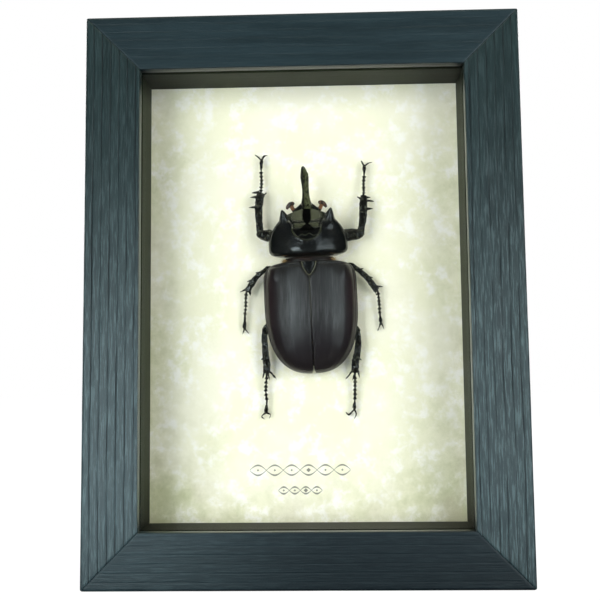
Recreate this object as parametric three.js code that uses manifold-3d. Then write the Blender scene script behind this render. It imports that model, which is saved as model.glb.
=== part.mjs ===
// A dried rhinoceros beetle mounted on mottled parchment board, in a deep glazed shadow-box frame.
// Millimetres. +X is to the viewer's right, +Y goes from the front of the frame to the wall, +Z is up.
// The origin is the centre of the bottom rail's underside, the face that the frame stands on.
import * as THREE from "three";
import { mergeVertices } from "three/addons/utils/BufferGeometryUtils.js";
import Module from "manifold-3d";

const wasm = await Module();
wasm.setup();

// The frame, outside sizes and moulding section
const FRAME_WIDTH = 146;
const FRAME_HEIGHT = 190.5;
const FRAME_DEPTH = 30;
const RAIL_FACE = 18.5; // width of the moulding seen from the front
const RABBET_SIDE = 6; // how far the rabbet is cut back from the sight edge
const LIP_DEPTH = 3.6; // thickness of the wood in front of the glass
const OUTER_ROUND = 0.9;
const SIGHT_ROUND = 0.4;
const MITRE_GAP = 0.05;

// What the frame holds, from front to back
const GLASS_THICK = 3;
const SPACER_START = LIP_DEPTH + GLASS_THICK + 0.2; // depth behind the front face
const PAPER_DEPTH = 22.3; // depth of the mottled paper behind the front face
const BOARD_THICK = 3;
const PANEL_THICK = 2.5;
const FIT = 0.5; // clearance between the rabbet's walls and what lies in it
const DUST_COVER_THICK = 0.4;
const DUST_COVER_INSET = 3;

// The hanger on the back of the top rail
const HANGER_LENGTH = 44;
const HANGER_HEIGHT = 8;
const HANGER_THICK = 0.8;
const HANGER_RISE = 1.4; // how far the toothed middle stands off the wood
const HANGER_TEETH = 11;
const NAIL_RADIUS = 0.6;
const NAIL_HEAD = 1.7;
const NAIL_LENGTH = 9;
const NAIL_PLAY = 0.1;

const FRONT_Y = -FRAME_DEPTH / 2;
const BACK_Y = FRAME_DEPTH / 2;
const PAPER_Y = FRONT_Y + PAPER_DEPTH;
const OPENING_WIDTH = FRAME_WIDTH - 2 * RAIL_FACE;
const OPENING_HEIGHT = FRAME_HEIGHT - 2 * RAIL_FACE;
const CENTRE_Z = FRAME_HEIGHT / 2;

// The beetle: 70 mm from the tip of the head horn to the end of the wing cases.
// Its own axes are u to its right, h up from the paper, v towards its head, with v = 0 near the scutellum.
const SPECIMEN_X = 1.75;
const SPECIMEN_Z = 104;
const SPECIMEN_LEAN = 2; // degrees that the head leans to the left
const CLEARANCE = 0.3; // between neighbouring plates

const ELYTRA = { front: 3.6, wide: -9.5, rear: -34.7, halfWidth: 16.1, rim: 5, top: 13.2, shell: 1 };
const PRONOTUM = { front: 22, wide: 10, rear: 4.9, halfWidth: 13.6, rim: 5.2, top: 13.4 };
const DISH = { v: 16.4, h: 12.6, halfWidth: 4.8, halfLength: 7, depth: 1.9, slope: 22 }; // its hollow
const PRONOTUM_HORN = {
  path: [[7.7, 17.6, 6.8], [8, 19.2, 9], [8.3, 20.6, 10.8], [8.45, 21.7, 11.9]],
  halfWidths: [2.1, 1.6, 0.95, 0.12],
};
const HEAD_SECTIONS = [
  // v, half width, top
  [22.25, 5.2, 7.9],
  [23, 4.7, 7.7],
  [23.9, 3.8, 7.3],
  [24.8, 2.9, 6.4],
  [25.4, 2.2, 5.2],
];
const HEAD_HORN = {
  path: [
    [0, 22.9, 5.2],
    [0, 23.9, 6.6],
    [0, 24.9, 7.6],
    [0, 26.4, 8.6],
    [0, 28.8, 9.7],
    [-0.05, 30.8, 10.5],
    [-0.1, 32.4, 11.3],
    [-0.15, 33.8, 12.3],
    [-0.2, 34.7, 13.3],
    [-0.2, 35, 14.2],
  ],
  halfWidths: [2.9, 2.2, 1.6, 1.2, 1.15, 1.25, 1.37, 1.2, 0.85, 0.35],
};
const EYE = { u: 4.5, v: 23.25, h: 5.6, radius: 1.05 };
const ANTENNA = {
  stalk: [[6, 23.1, 5], [6.3, 23.6, 5.1], [6.1, 24.2, 5.2]],
  club: [[4.9, 25.6, 5.4], [5.4, 25.2, 5.3], [6.3, 24.3, 5.2], [7, 23.4, 5.1], [7.2, 22.9, 5]],
};
const NECK = { halfWidth: 8.5, top: 9.4, gap: 0.4 };
const SCUTELLUM = { halfWidth: 2.7, tip: -1.8, shoulder: 1.2, base: 3.2, top: 12.6, thick: 2.4 };

// Half widths along femur and tibia, then the shares of the tibia's length where its thorns stand.
const FORE = {
  femur: [2, 2.2, 1.7], tibia: [1.3, 1.35, 1.5, 1.15],
  teeth: [0.66, 0.9, 1], tooth: 2.1, spurs: [1],
};
const MIDDLE = {
  femur: [1.7, 1.9, 1.2], tibia: [0.75, 1.05, 1.3, 1.1],
  teeth: [0.6, 1], tooth: 2, spurs: [1],
};
const HIND = {
  femur: [1.9, 2.1, 1.3], tibia: [0.85, 1.15, 1.35, 1.35],
  teeth: [0.68, 1], tooth: 1.9, spurs: [1, 0.97],
};
const TIBIA_BOW = 0.5; // how far the tibia's middle swings outwards
const TARSUS_HALF_WIDTH = 0.5;

// Each leg as it dried, in u, v and h, with a bend and a tip for each of its two claws.
const LEGS = {
  foreleg_left: {
    build: FORE, side: -1,
    hip: [-10, 13.2, 4], knee: [-16.3, 14.4, 5], ankle: [-16, 29.2, 3.6], foot: [-15.3, 40.9, 1.4],
    claws: [[[-16.3, 42.5, 1.6], [-17.4, 43.6, 1]], [[-14.2, 42.8, 1.6], [-13, 43.2, 1]]],
  },
  foreleg_right: {
    build: FORE, side: 1,
    hip: [10, 12.6, 4], knee: [18.2, 13, 5], ankle: [20.2, 26.3, 3.6], foot: [20.9, 37, 1.4],
    claws: [[[20.3, 38.7, 1.6], [19.8, 39.9, 1]], [[22.4, 38.3, 1.6], [23.7, 38.7, 1]]],
  },
  middle_leg_left: {
    build: MIDDLE, side: -1,
    hip: [-7, -1, 2.4], knee: [-14.5, 2.4, 3.5], ankle: [-22.1, -5.2, 2.6], foot: [-23.6, -17.6, 1],
    claws: [[[-24, -18.9, 1.2], [-24.6, -20, 0.7]], [[-22.9, -18.9, 1.2], [-22.2, -19.8, 0.7]]],
  },
  middle_leg_right: {
    build: MIDDLE, side: 1,
    hip: [7, -1, 2.4], knee: [14.6, 2.2, 3.5], ankle: [23, -7.1, 2.6], foot: [23.9, -17.6, 1],
    claws: [[[23.4, -19.3, 1.2], [22.7, -20.8, 0.7]], [[24.5, -19.3, 1.2], [25, -20.8, 0.7]]],
  },
  hind_leg_left: {
    build: HIND, side: -1,
    hip: [-6.5, -12, 2.4], knee: [-16, -18.6, 3.3], ankle: [-16.3, -34, 2.4], foot: [-17.2, -47.2, 1],
    claws: [[[-18.9, -48.6, 1.2], [-17.8, -49.8, 0.7]], [[-15.9, -48.2, 1.2], [-16.5, -49.7, 0.7]]],
  },
  hind_leg_right: {
    build: HIND, side: 1,
    hip: [6.5, -12, 2.4], knee: [15.4, -20, 3.3], ankle: [14.1, -35.2, 2.4], foot: [13.3, -47.1, 1],
    claws: [[[11.3, -49.4, 1.2], [10.1, -48.4, 0.7]], [[13.7, -49.3, 1.2], [13, -50.9, 0.7]]],
  },
};

const PAINTED_WOOD = paint("#33434a", 0.55);
const GLASS = new THREE.MeshStandardMaterial({
  color: "#eef4f2",
  roughness: 0.02,
  transparent: true,
  opacity: 0.2,
});
const SPACER_CARD = paint("#4a4c3c", 0.7);
const PARCHMENT = paint("#e6e8c8", 0.9);
const HARDBOARD = paint("#6b4c32", 0.85);
const KRAFT_PAPER = paint("#a98559", 0.9);
const STEEL = paint("#b9b7ac", 0.35, 1);
const GLOSSY_CHITIN = paint("#0b0c0d", 0.12);
const SATIN_CHITIN = paint("#1d1b1f", 0.35);
const LEG_CHITIN = paint("#101010", 0.28);
const BROWN_CHITIN = paint("#5a2c14", 0.4);

function paint(color, roughness, metalness = 0) {
  return new THREE.MeshStandardMaterial({ color, roughness, metalness });
}

// Solids and meshes

function solidOf(geometry) {
  const bare = geometry.index ? geometry.toNonIndexed() : geometry.clone();
  bare.deleteAttribute("normal");
  bare.deleteAttribute("uv");
  const merged = mergeVertices(bare, 1e-4);
  const solid = new wasm.Manifold(
    new wasm.Mesh({
      numProp: 3,
      vertProperties: new Float32Array(merged.attributes.position.array),
      triVerts: new Uint32Array(merged.index.array),
    }),
  );
  return solid;
}

function meshOf(name, solid, material) {
  const data = solid.getMesh();
  const geometry = new THREE.BufferGeometry();
  geometry.setAttribute("position", new THREE.BufferAttribute(new Float32Array(data.vertProperties), 3));
  geometry.setIndex(new THREE.BufferAttribute(new Uint32Array(data.triVerts), 1));
  geometry.computeVertexNormals();
  return named(name, geometry, material);
}

function named(name, geometry, material) {
  const mesh = new THREE.Mesh(geometry, material);
  mesh.name = name;
  return mesh;
}

function joined(solids) {
  return solids.reduce((whole, piece) => whole.add(piece));
}

// A box given by its lowest and highest corners.
function boxBetween(low, high) {
  const size = new THREE.Vector3().subVectors(high, low);
  const middle = new THREE.Vector3().addVectors(high, low).multiplyScalar(0.5);
  return new THREE.BoxGeometry(size.x, size.y, size.z).translate(middle.x, middle.y, middle.z);
}

// A closed skin over rings that have the same number of points, with a fan over each end.
function loft(rings) {
  const count = rings[0].length;
  const points = rings.flat();
  const index = [];
  for (let ring = 0; ring + 1 < rings.length; ring++) {
    for (let i = 0; i < count; i++) {
      const a = ring * count + i;
      const b = ring * count + ((i + 1) % count);
      index.push(a, b, a + count, b, b + count, a + count);
    }
  }
  const ends = [rings[0], rings[rings.length - 1]];
  ends.forEach((ring, end) => {
    const middle = ring.reduce((sum, p) => sum.add(p), new THREE.Vector3()).multiplyScalar(1 / count);
    const hub = points.push(middle) - 1;
    const start = end * (rings.length - 1) * count;
    for (let i = 0; i < count; i++) {
      const a = start + i;
      const b = start + ((i + 1) % count);
      if (end) index.push(hub, a, b);
      else index.push(hub, b, a);
    }
  });
  const geometry = new THREE.BufferGeometry().setFromPoints(points);
  geometry.setIndex(signedVolume(points, index) < 0 ? index.reverse() : index);
  return geometry;
}

function signedVolume(points, index) {
  let volume = 0;
  for (let i = 0; i < index.length; i += 3) {
    const [a, b, c] = [points[index[i]], points[index[i + 1]], points[index[i + 2]]];
    volume += a.dot(new THREE.Vector3().crossVectors(b, c));
  }
  return volume;
}

// The frame

// One rail of the L-shaped moulding along X, its sight edge up, its ends mitred; span is its outside length.
function railSolid(span) {
  const section = new THREE.Shape();
  section.moveTo(0, FRAME_DEPTH);
  section.lineTo(0, OUTER_ROUND);
  section.absarc(OUTER_ROUND, OUTER_ROUND, OUTER_ROUND, Math.PI, 1.5 * Math.PI, false);
  section.lineTo(RAIL_FACE - SIGHT_ROUND, 0);
  section.absarc(RAIL_FACE - SIGHT_ROUND, SIGHT_ROUND, SIGHT_ROUND, -Math.PI / 2, 0, false);
  section.lineTo(RAIL_FACE, LIP_DEPTH);
  section.lineTo(RAIL_FACE - RABBET_SIDE, LIP_DEPTH);
  section.lineTo(RAIL_FACE - RABBET_SIDE, FRAME_DEPTH);
  const rail = new THREE.ExtrudeGeometry(section, { depth: span, bevelEnabled: false, curveSegments: 4 });
  const place = rail.attributes.position;
  for (let i = 0; i < place.count; i++) {
    const [out, deep, along] = [place.getX(i), place.getY(i), place.getZ(i)];
    const mitre = out + MITRE_GAP;
    const x = along < span / 2 ? span / 2 - mitre : mitre - span / 2;
    place.setXYZ(i, x, FRONT_Y + deep, out);
  }
  return solidOf(rail);
}

function frameRails() {
  const across = railSolid(FRAME_WIDTH);
  const upright = railSolid(FRAME_HEIGHT);
  const nailHoles = joined(nailPlaces().map((x) => nailShank(x, NAIL_RADIUS + NAIL_PLAY, NAIL_LENGTH + 0.5)));
  const top = across.rotate([0, 180, 0]).translate([0, 0, FRAME_HEIGHT]).subtract(nailHoles);
  const left = upright.rotate([0, 90, 0]).translate([-FRAME_WIDTH / 2, 0, CENTRE_Z]);
  const right = upright.rotate([0, -90, 0]).translate([FRAME_WIDTH / 2, 0, CENTRE_Z]);
  return [
    meshOf("frame_rail_bottom", across, PAINTED_WOOD),
    meshOf("frame_rail_top", top, PAINTED_WOOD),
    meshOf("frame_rail_left", left, PAINTED_WOOD),
    meshOf("frame_rail_right", right, PAINTED_WOOD),
  ];
}

// A flat sheet that lies in the rabbet, from one depth behind the front face to another.
function rabbetSheet(name, start, thick, material) {
  const reach = RABBET_SIDE - FIT;
  const x = OPENING_WIDTH / 2 + reach;
  const z = OPENING_HEIGHT / 2 + reach;
  const y = FRONT_Y + start;
  const low = new THREE.Vector3(-x, y, CENTRE_Z - z);
  const high = new THREE.Vector3(x, y + thick, CENTRE_Z + z);
  return named(name, boxBetween(low, high), material);
}

function spacerStrips() {
  const thick = RABBET_SIDE - FIT;
  const [x, z] = [OPENING_WIDTH / 2, OPENING_HEIGHT / 2];
  const [near, far] = [FRONT_Y + SPACER_START, PAPER_Y];
  const strip = (name, lowX, lowZ, highX, highZ) => {
    const low = new THREE.Vector3(lowX, near, CENTRE_Z + lowZ);
    const high = new THREE.Vector3(highX, far, CENTRE_Z + highZ);
    return named(name, boxBetween(low, high), SPACER_CARD);
  };
  return [
    strip("spacer_top", -x - thick, z, x + thick, z + thick),
    strip("spacer_bottom", -x - thick, -z - thick, x + thick, -z),
    strip("spacer_left", -x - thick, -z, -x, z),
    strip("spacer_right", x, -z, x + thick, z),
  ];
}

function dustCover() {
  const x = FRAME_WIDTH / 2 - DUST_COVER_INSET;
  const low = new THREE.Vector3(-x, BACK_Y, DUST_COVER_INSET);
  const high = new THREE.Vector3(x, BACK_Y + DUST_COVER_THICK, FRAME_HEIGHT - DUST_COVER_INSET);
  const paper = solidOf(boxBetween(low, high));
  const holes = joined(nailPlaces().map((place) => nailShank(place, NAIL_RADIUS + NAIL_PLAY, 3)));
  return meshOf("dust_cover", paper.subtract(holes), KRAFT_PAPER);
}

// The hanger

const HANGER_Z = FRAME_HEIGHT - 6.5; // height of the hanger's middle
const HANGER_Y = BACK_Y + DUST_COVER_THICK;

function nailPlaces() {
  const x = HANGER_LENGTH / 2 - 4;
  return [-x, x];
}

// A round pin along Y whose far end stands clear of the hanger, length deep into the wood.
function nailShank(x, radius, length) {
  const top = HANGER_Y + HANGER_THICK;
  const pin = new THREE.CylinderGeometry(radius, radius, length, 8);
  return solidOf(pin.translate(x, top - length / 2, HANGER_Z));
}

function hangerNail(name, x) {
  const [seat, rise] = [HANGER_Y + HANGER_THICK, 0.5 * NAIL_HEAD];
  const dome = [
    new THREE.Vector2(0, 0),
    new THREE.Vector2(NAIL_HEAD, 0),
    new THREE.Vector2(NAIL_HEAD * 0.9, rise * 0.5),
    new THREE.Vector2(NAIL_HEAD * 0.5, rise * 0.9),
    new THREE.Vector2(0, rise),
  ];
  const head = solidOf(new THREE.LatheGeometry(dome, 10).translate(x, seat, HANGER_Z));
  const shank = nailShank(x, NAIL_RADIUS, NAIL_LENGTH).translate([0, 0.1, 0]);
  return meshOf(name, head.add(shank), STEEL);
}

// The strip is flat at both ends and its middle, with teeth along the lower edge, stands off the wood.
function hanger() {
  const [half, flat, ramp, overlap, corner] = [HANGER_LENGTH / 2, 8, 2.5, 0.1, 2];
  const [top, bottom] = [HANGER_HEIGHT / 2, -HANGER_HEIGHT / 2];
  const raised = half - flat - ramp;
  const pitch = (2 * raised) / HANGER_TEETH;
  const teeth = new THREE.Shape();
  teeth.moveTo(-raised, top);
  for (let i = 0; i < HANGER_TEETH; i++) {
    teeth.lineTo(-raised + i * pitch, bottom);
    teeth.lineTo(-raised + (i + 0.5) * pitch, bottom + pitch * 0.7);
  }
  teeth.lineTo(raised, bottom);
  teeth.lineTo(raised, top);
  const plate = (shape, rise) => {
    const steps = { depth: HANGER_THICK, bevelEnabled: false, curveSegments: 6 };
    const sheet = new THREE.ExtrudeGeometry(shape, steps);
    return solidOf(sheet.rotateX(Math.PI / 2).translate(0, HANGER_Y + HANGER_THICK + rise, HANGER_Z));
  };
  const middle = plate(teeth, HANGER_RISE);
  const ends = [-1, 1].map((side) => {
    const end = new THREE.Shape();
    end.moveTo(side * (half - flat), top);
    end.lineTo(side * (half - corner), top);
    end.quadraticCurveTo(side * half, top, side * half, 0);
    end.quadraticCurveTo(side * half, bottom, side * (half - corner), bottom);
    end.lineTo(side * (half - flat), bottom);
    const slope = new THREE.Shape();
    slope.moveTo(side * (half - flat + overlap), HANGER_Y);
    slope.lineTo(side * (half - flat + overlap), HANGER_Y + HANGER_THICK);
    slope.lineTo(side * (raised - overlap), HANGER_Y + HANGER_THICK + HANGER_RISE);
    slope.lineTo(side * (raised - overlap), HANGER_Y + HANGER_RISE);
    const rampPlate = new THREE.ExtrudeGeometry(slope, { depth: HANGER_HEIGHT, bevelEnabled: false });
    return plate(end, 0).add(solidOf(rampPlate.translate(0, 0, HANGER_Z - HANGER_HEIGHT / 2)));
  });
  const holes = nailPlaces().map((x) => nailShank(x, NAIL_RADIUS + 2 * NAIL_PLAY, 3).translate([0, 1, 0]));
  return meshOf("sawtooth_hanger", joined([middle, ...ends]).subtract(joined(holes)), STEEL);
}

// The beetle's plates

const spot = (u, v, h) => new THREE.Vector3(u, -h, v);

// Falls from 1 at t = 0 to 0 at t = 1; a larger power is squarer.
function rounded(t, power) {
  return Math.pow(Math.max(0, 1 - Math.pow(Math.abs(t), power)), 1 / power);
}

function smoothStep(from, to, value) {
  const t = THREE.MathUtils.clamp((value - from) / (to - from), 0, 1);
  return t * t * (3 - 2 * t);
}

// An arch from the right rim over the top to the left rim, at one place along the body.
function arch(v, halfWidth, rim, top, steps) {
  const points = [];
  for (let i = 0; i <= steps; i++) {
    const angle = (Math.PI * i) / steps;
    const [across, up] = [Math.cos(angle), Math.sin(angle)];
    const u = halfWidth * Math.sign(across) * Math.pow(Math.abs(across), 0.85);
    const h = rim + (top - rim) * Math.pow(Math.abs(up), 0.85);
    points.push(spot(u, v, h));
  }
  return points;
}

// Places along the body between two ends, closer together near both.
function stations(from, to, count) {
  return Array.from({ length: count + 1 }, (_, i) => {
    const t = 0.5 - 0.5 * Math.cos((Math.PI * i) / count);
    return THREE.MathUtils.lerp(from, to, t);
  });
}

function elytraWidth(v) {
  const { front, wide, rear, halfWidth } = ELYTRA;
  if (v > wide) return halfWidth * rounded((v - wide) / (front - wide), 6);
  return halfWidth * rounded((wide - v) / (wide - rear), 2.55);
}

function elytraTop(v) {
  const { front, rear, rim, top } = ELYTRA;
  const peak = -8;
  const ahead = (v - peak) / (front + 0.3 - peak);
  const behind = (peak - v) / (peak - rear);
  return rim + (top - rim) * (v > peak ? rounded(ahead, 4) : rounded(behind, 2.1));
}

// The two wing cases as one dome, closed flat at the height of their rim and grown all round.
function elytraDome(grow, arcSteps) {
  const { front, rear, rim } = ELYTRA;
  const ends = 0.06;
  const rings = stations(front - ends, rear + ends, 15).map((v, i) => {
    const longer = i === 0 ? grow : i === 15 ? -grow : 0;
    return arch(v + longer, elytraWidth(v) + grow, rim - grow, elytraTop(v) + grow, arcSteps);
  });
  return solidOf(loft(rings));
}

// The small shield between the wing cases, its upper face a little proud of them.
function scutellumSolid(grow) {
  const { shoulder, top, thick } = SCUTELLUM;
  const [half, tip, base] = [SCUTELLUM.halfWidth + grow, SCUTELLUM.tip - grow, SCUTELLUM.base + grow];
  const shield = new THREE.Shape();
  shield.moveTo(-half, base);
  shield.lineTo(-half, shoulder);
  shield.quadraticCurveTo(-half * 0.75, tip * 0.75, 0, tip);
  shield.quadraticCurveTo(half * 0.75, tip * 0.75, half, shoulder);
  shield.lineTo(half, base);
  const steps = { depth: thick + 4 * grow, bevelEnabled: false, curveSegments: 6 };
  const plate = new THREE.ExtrudeGeometry(shield, steps);
  return solidOf(plate.rotateX(Math.PI / 2).translate(0, thick + 2 * grow - top, 0));
}

function wingCases() {
  const dome = elytraDome(0, 18).subtract(underbodySolid(CLEARANCE)).subtract(scutellumSolid(CLEARANCE));
  const [reach, seam] = [50, CLEARANCE / 2];
  const half = (side) => {
    const low = new THREE.Vector3(side > 0 ? seam : -reach, -reach, -reach);
    const high = new THREE.Vector3(side > 0 ? reach : -seam, reach, reach);
    return dome.intersect(solidOf(boxBetween(low, high)));
  };
  return [
    meshOf("elytron_left", half(-1), SATIN_CHITIN),
    meshOf("elytron_right", half(1), SATIN_CHITIN),
  ];
}

// Breast and abdomen: what the wing cases cover, its flat belly glued to the paper.
function underbodySolid(grow) {
  const { front, rear, rim, shell } = ELYTRA;
  const inset = shell + CLEARANCE - grow;
  const body = stations(front - inset, rear + inset + 1, 12).map((v) => {
    const width = Math.max(elytraWidth(v) - inset, 0.6);
    const top = Math.max(elytraTop(v) - inset, rim + 0.4);
    const belly = CLEARANCE - grow + 4 * smoothStep(-24, rear, v);
    return underside(v, width, rim - 0.6, top, belly);
  });
  const neckEnds = [PRONOTUM.rear - NECK.gap + grow, front - 0.6];
  const neck = neckEnds.map((v) => underside(v, NECK.halfWidth + grow, rim - 0.6, NECK.top + grow, 1));
  return solidOf(loft([...neck, ...body]));
}

// A whole cross-section: arch above the rim, rounded belly below it.
function underside(v, width, rim, top, belly) {
  const lower = [
    [-0.92, 0.75],
    [-0.7, 0.25],
    [-0.45, 0],
    [0.45, 0],
    [0.7, 0.25],
    [0.92, 0.75],
  ];
  return [
    ...arch(v, width, rim, top, 10),
    ...lower.map(([across, up]) => spot(width * across, v, belly + (rim - belly) * up)),
  ];
}

function pronotumWidth(v) {
  const { front, wide, rear, halfWidth } = PRONOTUM;
  if (v > wide) return halfWidth * rounded((v - wide) / (front - wide), 2);
  return halfWidth * rounded((wide - v) / (wide - rear), 4);
}

function pronotumTop(v) {
  const { front, rear, rim, top } = PRONOTUM;
  const peak = 10.5;
  const ahead = (v - peak) / (front + 1.2 - peak);
  const behind = (peak - v) / (peak - rear + 0.5);
  return rim + (top - rim) * (v > peak ? rounded(ahead, 1.9) : rounded(behind, 3));
}

function pronotumSolid(grow, arcSteps) {
  const { front, rear, rim } = PRONOTUM;
  const belly = [
    [-0.8, 0.4],
    [-0.5, 0],
    [0.5, 0],
    [0.8, 0.4],
  ];
  const rings = stations(front - 0.12 + grow, rear + 0.05 - grow, 15).map((v) => {
    const inside = THREE.MathUtils.clamp(v, rear + 0.05, front - 0.12);
    const width = pronotumWidth(inside) + grow;
    const top = pronotumTop(inside) + grow;
    const bottom = 1.2 + 2.2 * smoothStep(15, front, v) - grow;
    const lower = belly.map(([across, up]) => spot(width * across, v, bottom + (rim - bottom) * up));
    return [...arch(v, width, rim, top, arcSteps), ...lower];
  });
  return solidOf(loft(rings));
}

function pronotum() {
  const horns = [-1, 1].map((side) => {
    const path = PRONOTUM_HORN.path.map(([u, v, h]) => spot(side * u, v, h));
    return limb(path, PRONOTUM_HORN.halfWidths, 8);
  });
  const dish = new THREE.SphereGeometry(1, 16, 10).scale(DISH.halfWidth, DISH.depth, DISH.halfLength);
  dish.rotateX(-THREE.MathUtils.degToRad(DISH.slope)).translate(0, -DISH.h, DISH.v);
  return meshOf("pronotum", joined([pronotumSolid(0, 20).subtract(solidOf(dish)), ...horns]), GLOSSY_CHITIN);
}

// Head, horn and antennae

// A tapering solid along a path of points, wide across the paper and wide * flatness up from it.
function limb(path, halfWidths, sides, flatness = 1) {
  const up = new THREE.Vector3(0, -1, 0);
  const rings = path.map((point, i) => {
    const before = path[Math.max(i - 1, 0)];
    const after = path[Math.min(i + 1, path.length - 1)];
    const along = new THREE.Vector3().subVectors(after, before).normalize();
    const side = new THREE.Vector3().crossVectors(along, up).normalize();
    const lift = new THREE.Vector3().crossVectors(side, along);
    return Array.from({ length: sides }, (_, k) => {
      const angle = (2 * Math.PI * (k + 0.5)) / sides;
      const across = Math.cos(angle) * halfWidths[i];
      const high = Math.sin(angle) * halfWidths[i] * flatness;
      return point.clone().addScaledVector(side, across).addScaledVector(lift, high);
    });
  });
  return solidOf(loft(rings));
}

function head() {
  const capsule = HEAD_SECTIONS.map(([v, halfWidth, top]) => underside(v, halfWidth, 5, top, 2.4));
  const horn = limb(HEAD_HORN.path.map((p) => spot(...p)), HEAD_HORN.halfWidths, 10);
  const eyes = [-1, 1].map((side) => {
    const eye = new THREE.SphereGeometry(EYE.radius, 8, 6);
    return solidOf(eye.translate(side * EYE.u, -EYE.h, EYE.v));
  });
  const whole = joined([solidOf(loft(capsule)), horn, ...eyes]);
  return meshOf("head", whole.subtract(pronotumSolid(CLEARANCE, 16)), GLOSSY_CHITIN);
}

// A short stalk that ends in a folded club of leaves.
function antenna(name, side) {
  const place = ([u, v, h]) => spot(side * u, v, h);
  const stalk = limb(ANTENNA.stalk.map(place), [0.35, 0.4, 0.45], 6);
  const club = limb(ANTENNA.club.map(place), [0.3, 0.8, 1, 0.85, 0.35], 8, 0.8);
  return meshOf(name, stalk.add(club), BROWN_CHITIN);
}

// Legs

// hip, knee, ankle, foot are [u, v, h]. The traced pose differs from leg to leg, the build doesn't.
// The point at a share of the way from one place to another, moved sideways across the paper.
function between(from, to, share, sideways = 0) {
  const along = new THREE.Vector3().subVectors(to, from).normalize();
  const across = new THREE.Vector3(-along.z, 0, along.x);
  return new THREE.Vector3().lerpVectors(from, to, share).addScaledVector(across, sideways);
}

// A thorn from inside the shin, out to one side and forward by reach.
function thorn(knee, ankle, share, outward, reach, forward) {
  const root = between(knee, ankle, share - 0.08, outward * 0.3);
  const bend = between(knee, ankle, share, outward * (1 + reach * 0.3));
  const tip = between(knee, ankle, share, outward * (1 + reach));
  const along = new THREE.Vector3().subVectors(ankle, knee).normalize();
  return limb([root, bend, tip.addScaledVector(along, forward)], [0.75, 0.5, 0.08], 5, 0.8);
}

// Five beads in a row, each flared towards its far end, the last one longer.
function tarsus(ankle, foot) {
  const joints = [0, 0.17, 0.35, 0.53, 0.7, 1];
  const beads = joints.slice(1).map((end, i) => {
    const start = joints[i];
    const shares = [start - 0.02, start + (end - start) * 0.8, end];
    const stops = shares.map((share) => between(ankle, foot, share));
    return limb(stops, [0.6, 1.25, 0.85].map((width) => width * TARSUS_HALF_WIDTH), 5);
  });
  return joined(beads);
}

function claw(ankle, foot, [bend, tip]) {
  const path = [between(ankle, foot, 0.97), between(ankle, foot, 1.02), spot(...bend), spot(...tip)];
  return limb(path, [0.3, 0.34, 0.24, 0.08], 4);
}

function legSolid({ build, side, claws, ...joints }) {
  const [hip, knee, ankle, foot] = [joints.hip, joints.knee, joints.ankle, joints.foot].map((p) => spot(...p));
  const outward = Math.sign(between(knee, ankle, 0, 1).x - knee.x) * side;
  const femurStops = [0, 0.5, 1, 1.1].map((share) => between(hip, knee, share));
  const femur = limb(femurStops, [...build.femur, build.femur[2] * 0.6], 8, 0.85);
  const tibiaStops = [
    between(knee, ankle, -0.05),
    between(knee, ankle, 0.3, outward * TIBIA_BOW),
    between(knee, ankle, 0.75, outward * TIBIA_BOW),
    ankle,
  ];
  const tibia = limb(tibiaStops, build.tibia, 8, 0.75);
  const teeth = build.teeth.map((share) => thorn(knee, ankle, share, outward, build.tooth, 0.5));
  const spurs = build.spurs.map((share) => thorn(knee, ankle, share, -outward, build.tooth * 0.55, 1.2));
  const hooks = claws.map((points) => claw(ankle, foot, points));
  return joined([femur, tibia, ...teeth, ...spurs, tarsus(ankle, foot), ...hooks]);
}

function legs() {
  const trunk = [underbodySolid(CLEARANCE), pronotumSolid(CLEARANCE, 12)];
  const cover = elytraDome(CLEARANCE, 12);
  return Object.entries(LEGS).map(([name, leg]) => {
    const cut = [...trunk, cover].reduce((left, body) => left.subtract(body), legSolid(leg));
    const outermost = cut.decompose().reduce((a, b) => (a.volume() > b.volume() ? a : b));
    return meshOf(name, outermost, LEG_CHITIN);
  });
}

function specimen() {
  const group = new THREE.Group();
  group.position.set(SPECIMEN_X, PAPER_Y, SPECIMEN_Z);
  group.rotation.y = -THREE.MathUtils.degToRad(SPECIMEN_LEAN);
  group.add(
    meshOf("underbody", underbodySolid(0).subtract(scutellumSolid(CLEARANCE)), BROWN_CHITIN),
    ...wingCases(),
    meshOf("scutellum", scutellumSolid(0), GLOSSY_CHITIN),
    pronotum(),
    head(),
    antenna("antenna_left", -1),
    antenna("antenna_right", 1),
    ...legs(),
  );
  return group;
}

const framedSpecimen = new THREE.Group();
framedSpecimen.add(
  ...frameRails(),
  rabbetSheet("glass_pane", LIP_DEPTH, GLASS_THICK, GLASS),
  ...spacerStrips(),
  rabbetSheet("specimen_board", PAPER_DEPTH, BOARD_THICK, PARCHMENT),
  rabbetSheet("back_panel", PAPER_DEPTH + BOARD_THICK, PANEL_THICK, HARDBOARD),
  dustCover(),
  hanger(),
  hangerNail("hanger_nail_left", nailPlaces()[0]),
  hangerNail("hanger_nail_right", nailPlaces()[1]),
  specimen(),
);

export default framedSpecimen;
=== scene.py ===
"""A dried rhinoceros beetle on mottled parchment, in a deep glazed frame of slate-painted wood.

Lengths are in millimetres until a mesh is made, where MM turns them into metres. +X is to the viewer's
right, +Y goes from the glazed front to the wall and +Z is up. The beetle has axes of its own: u to its
right, v towards its head and h up from the parchment.
"""

import math
import random

import bpy
import numpy as np
from mathutils import Matrix, Vector, noise


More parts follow.
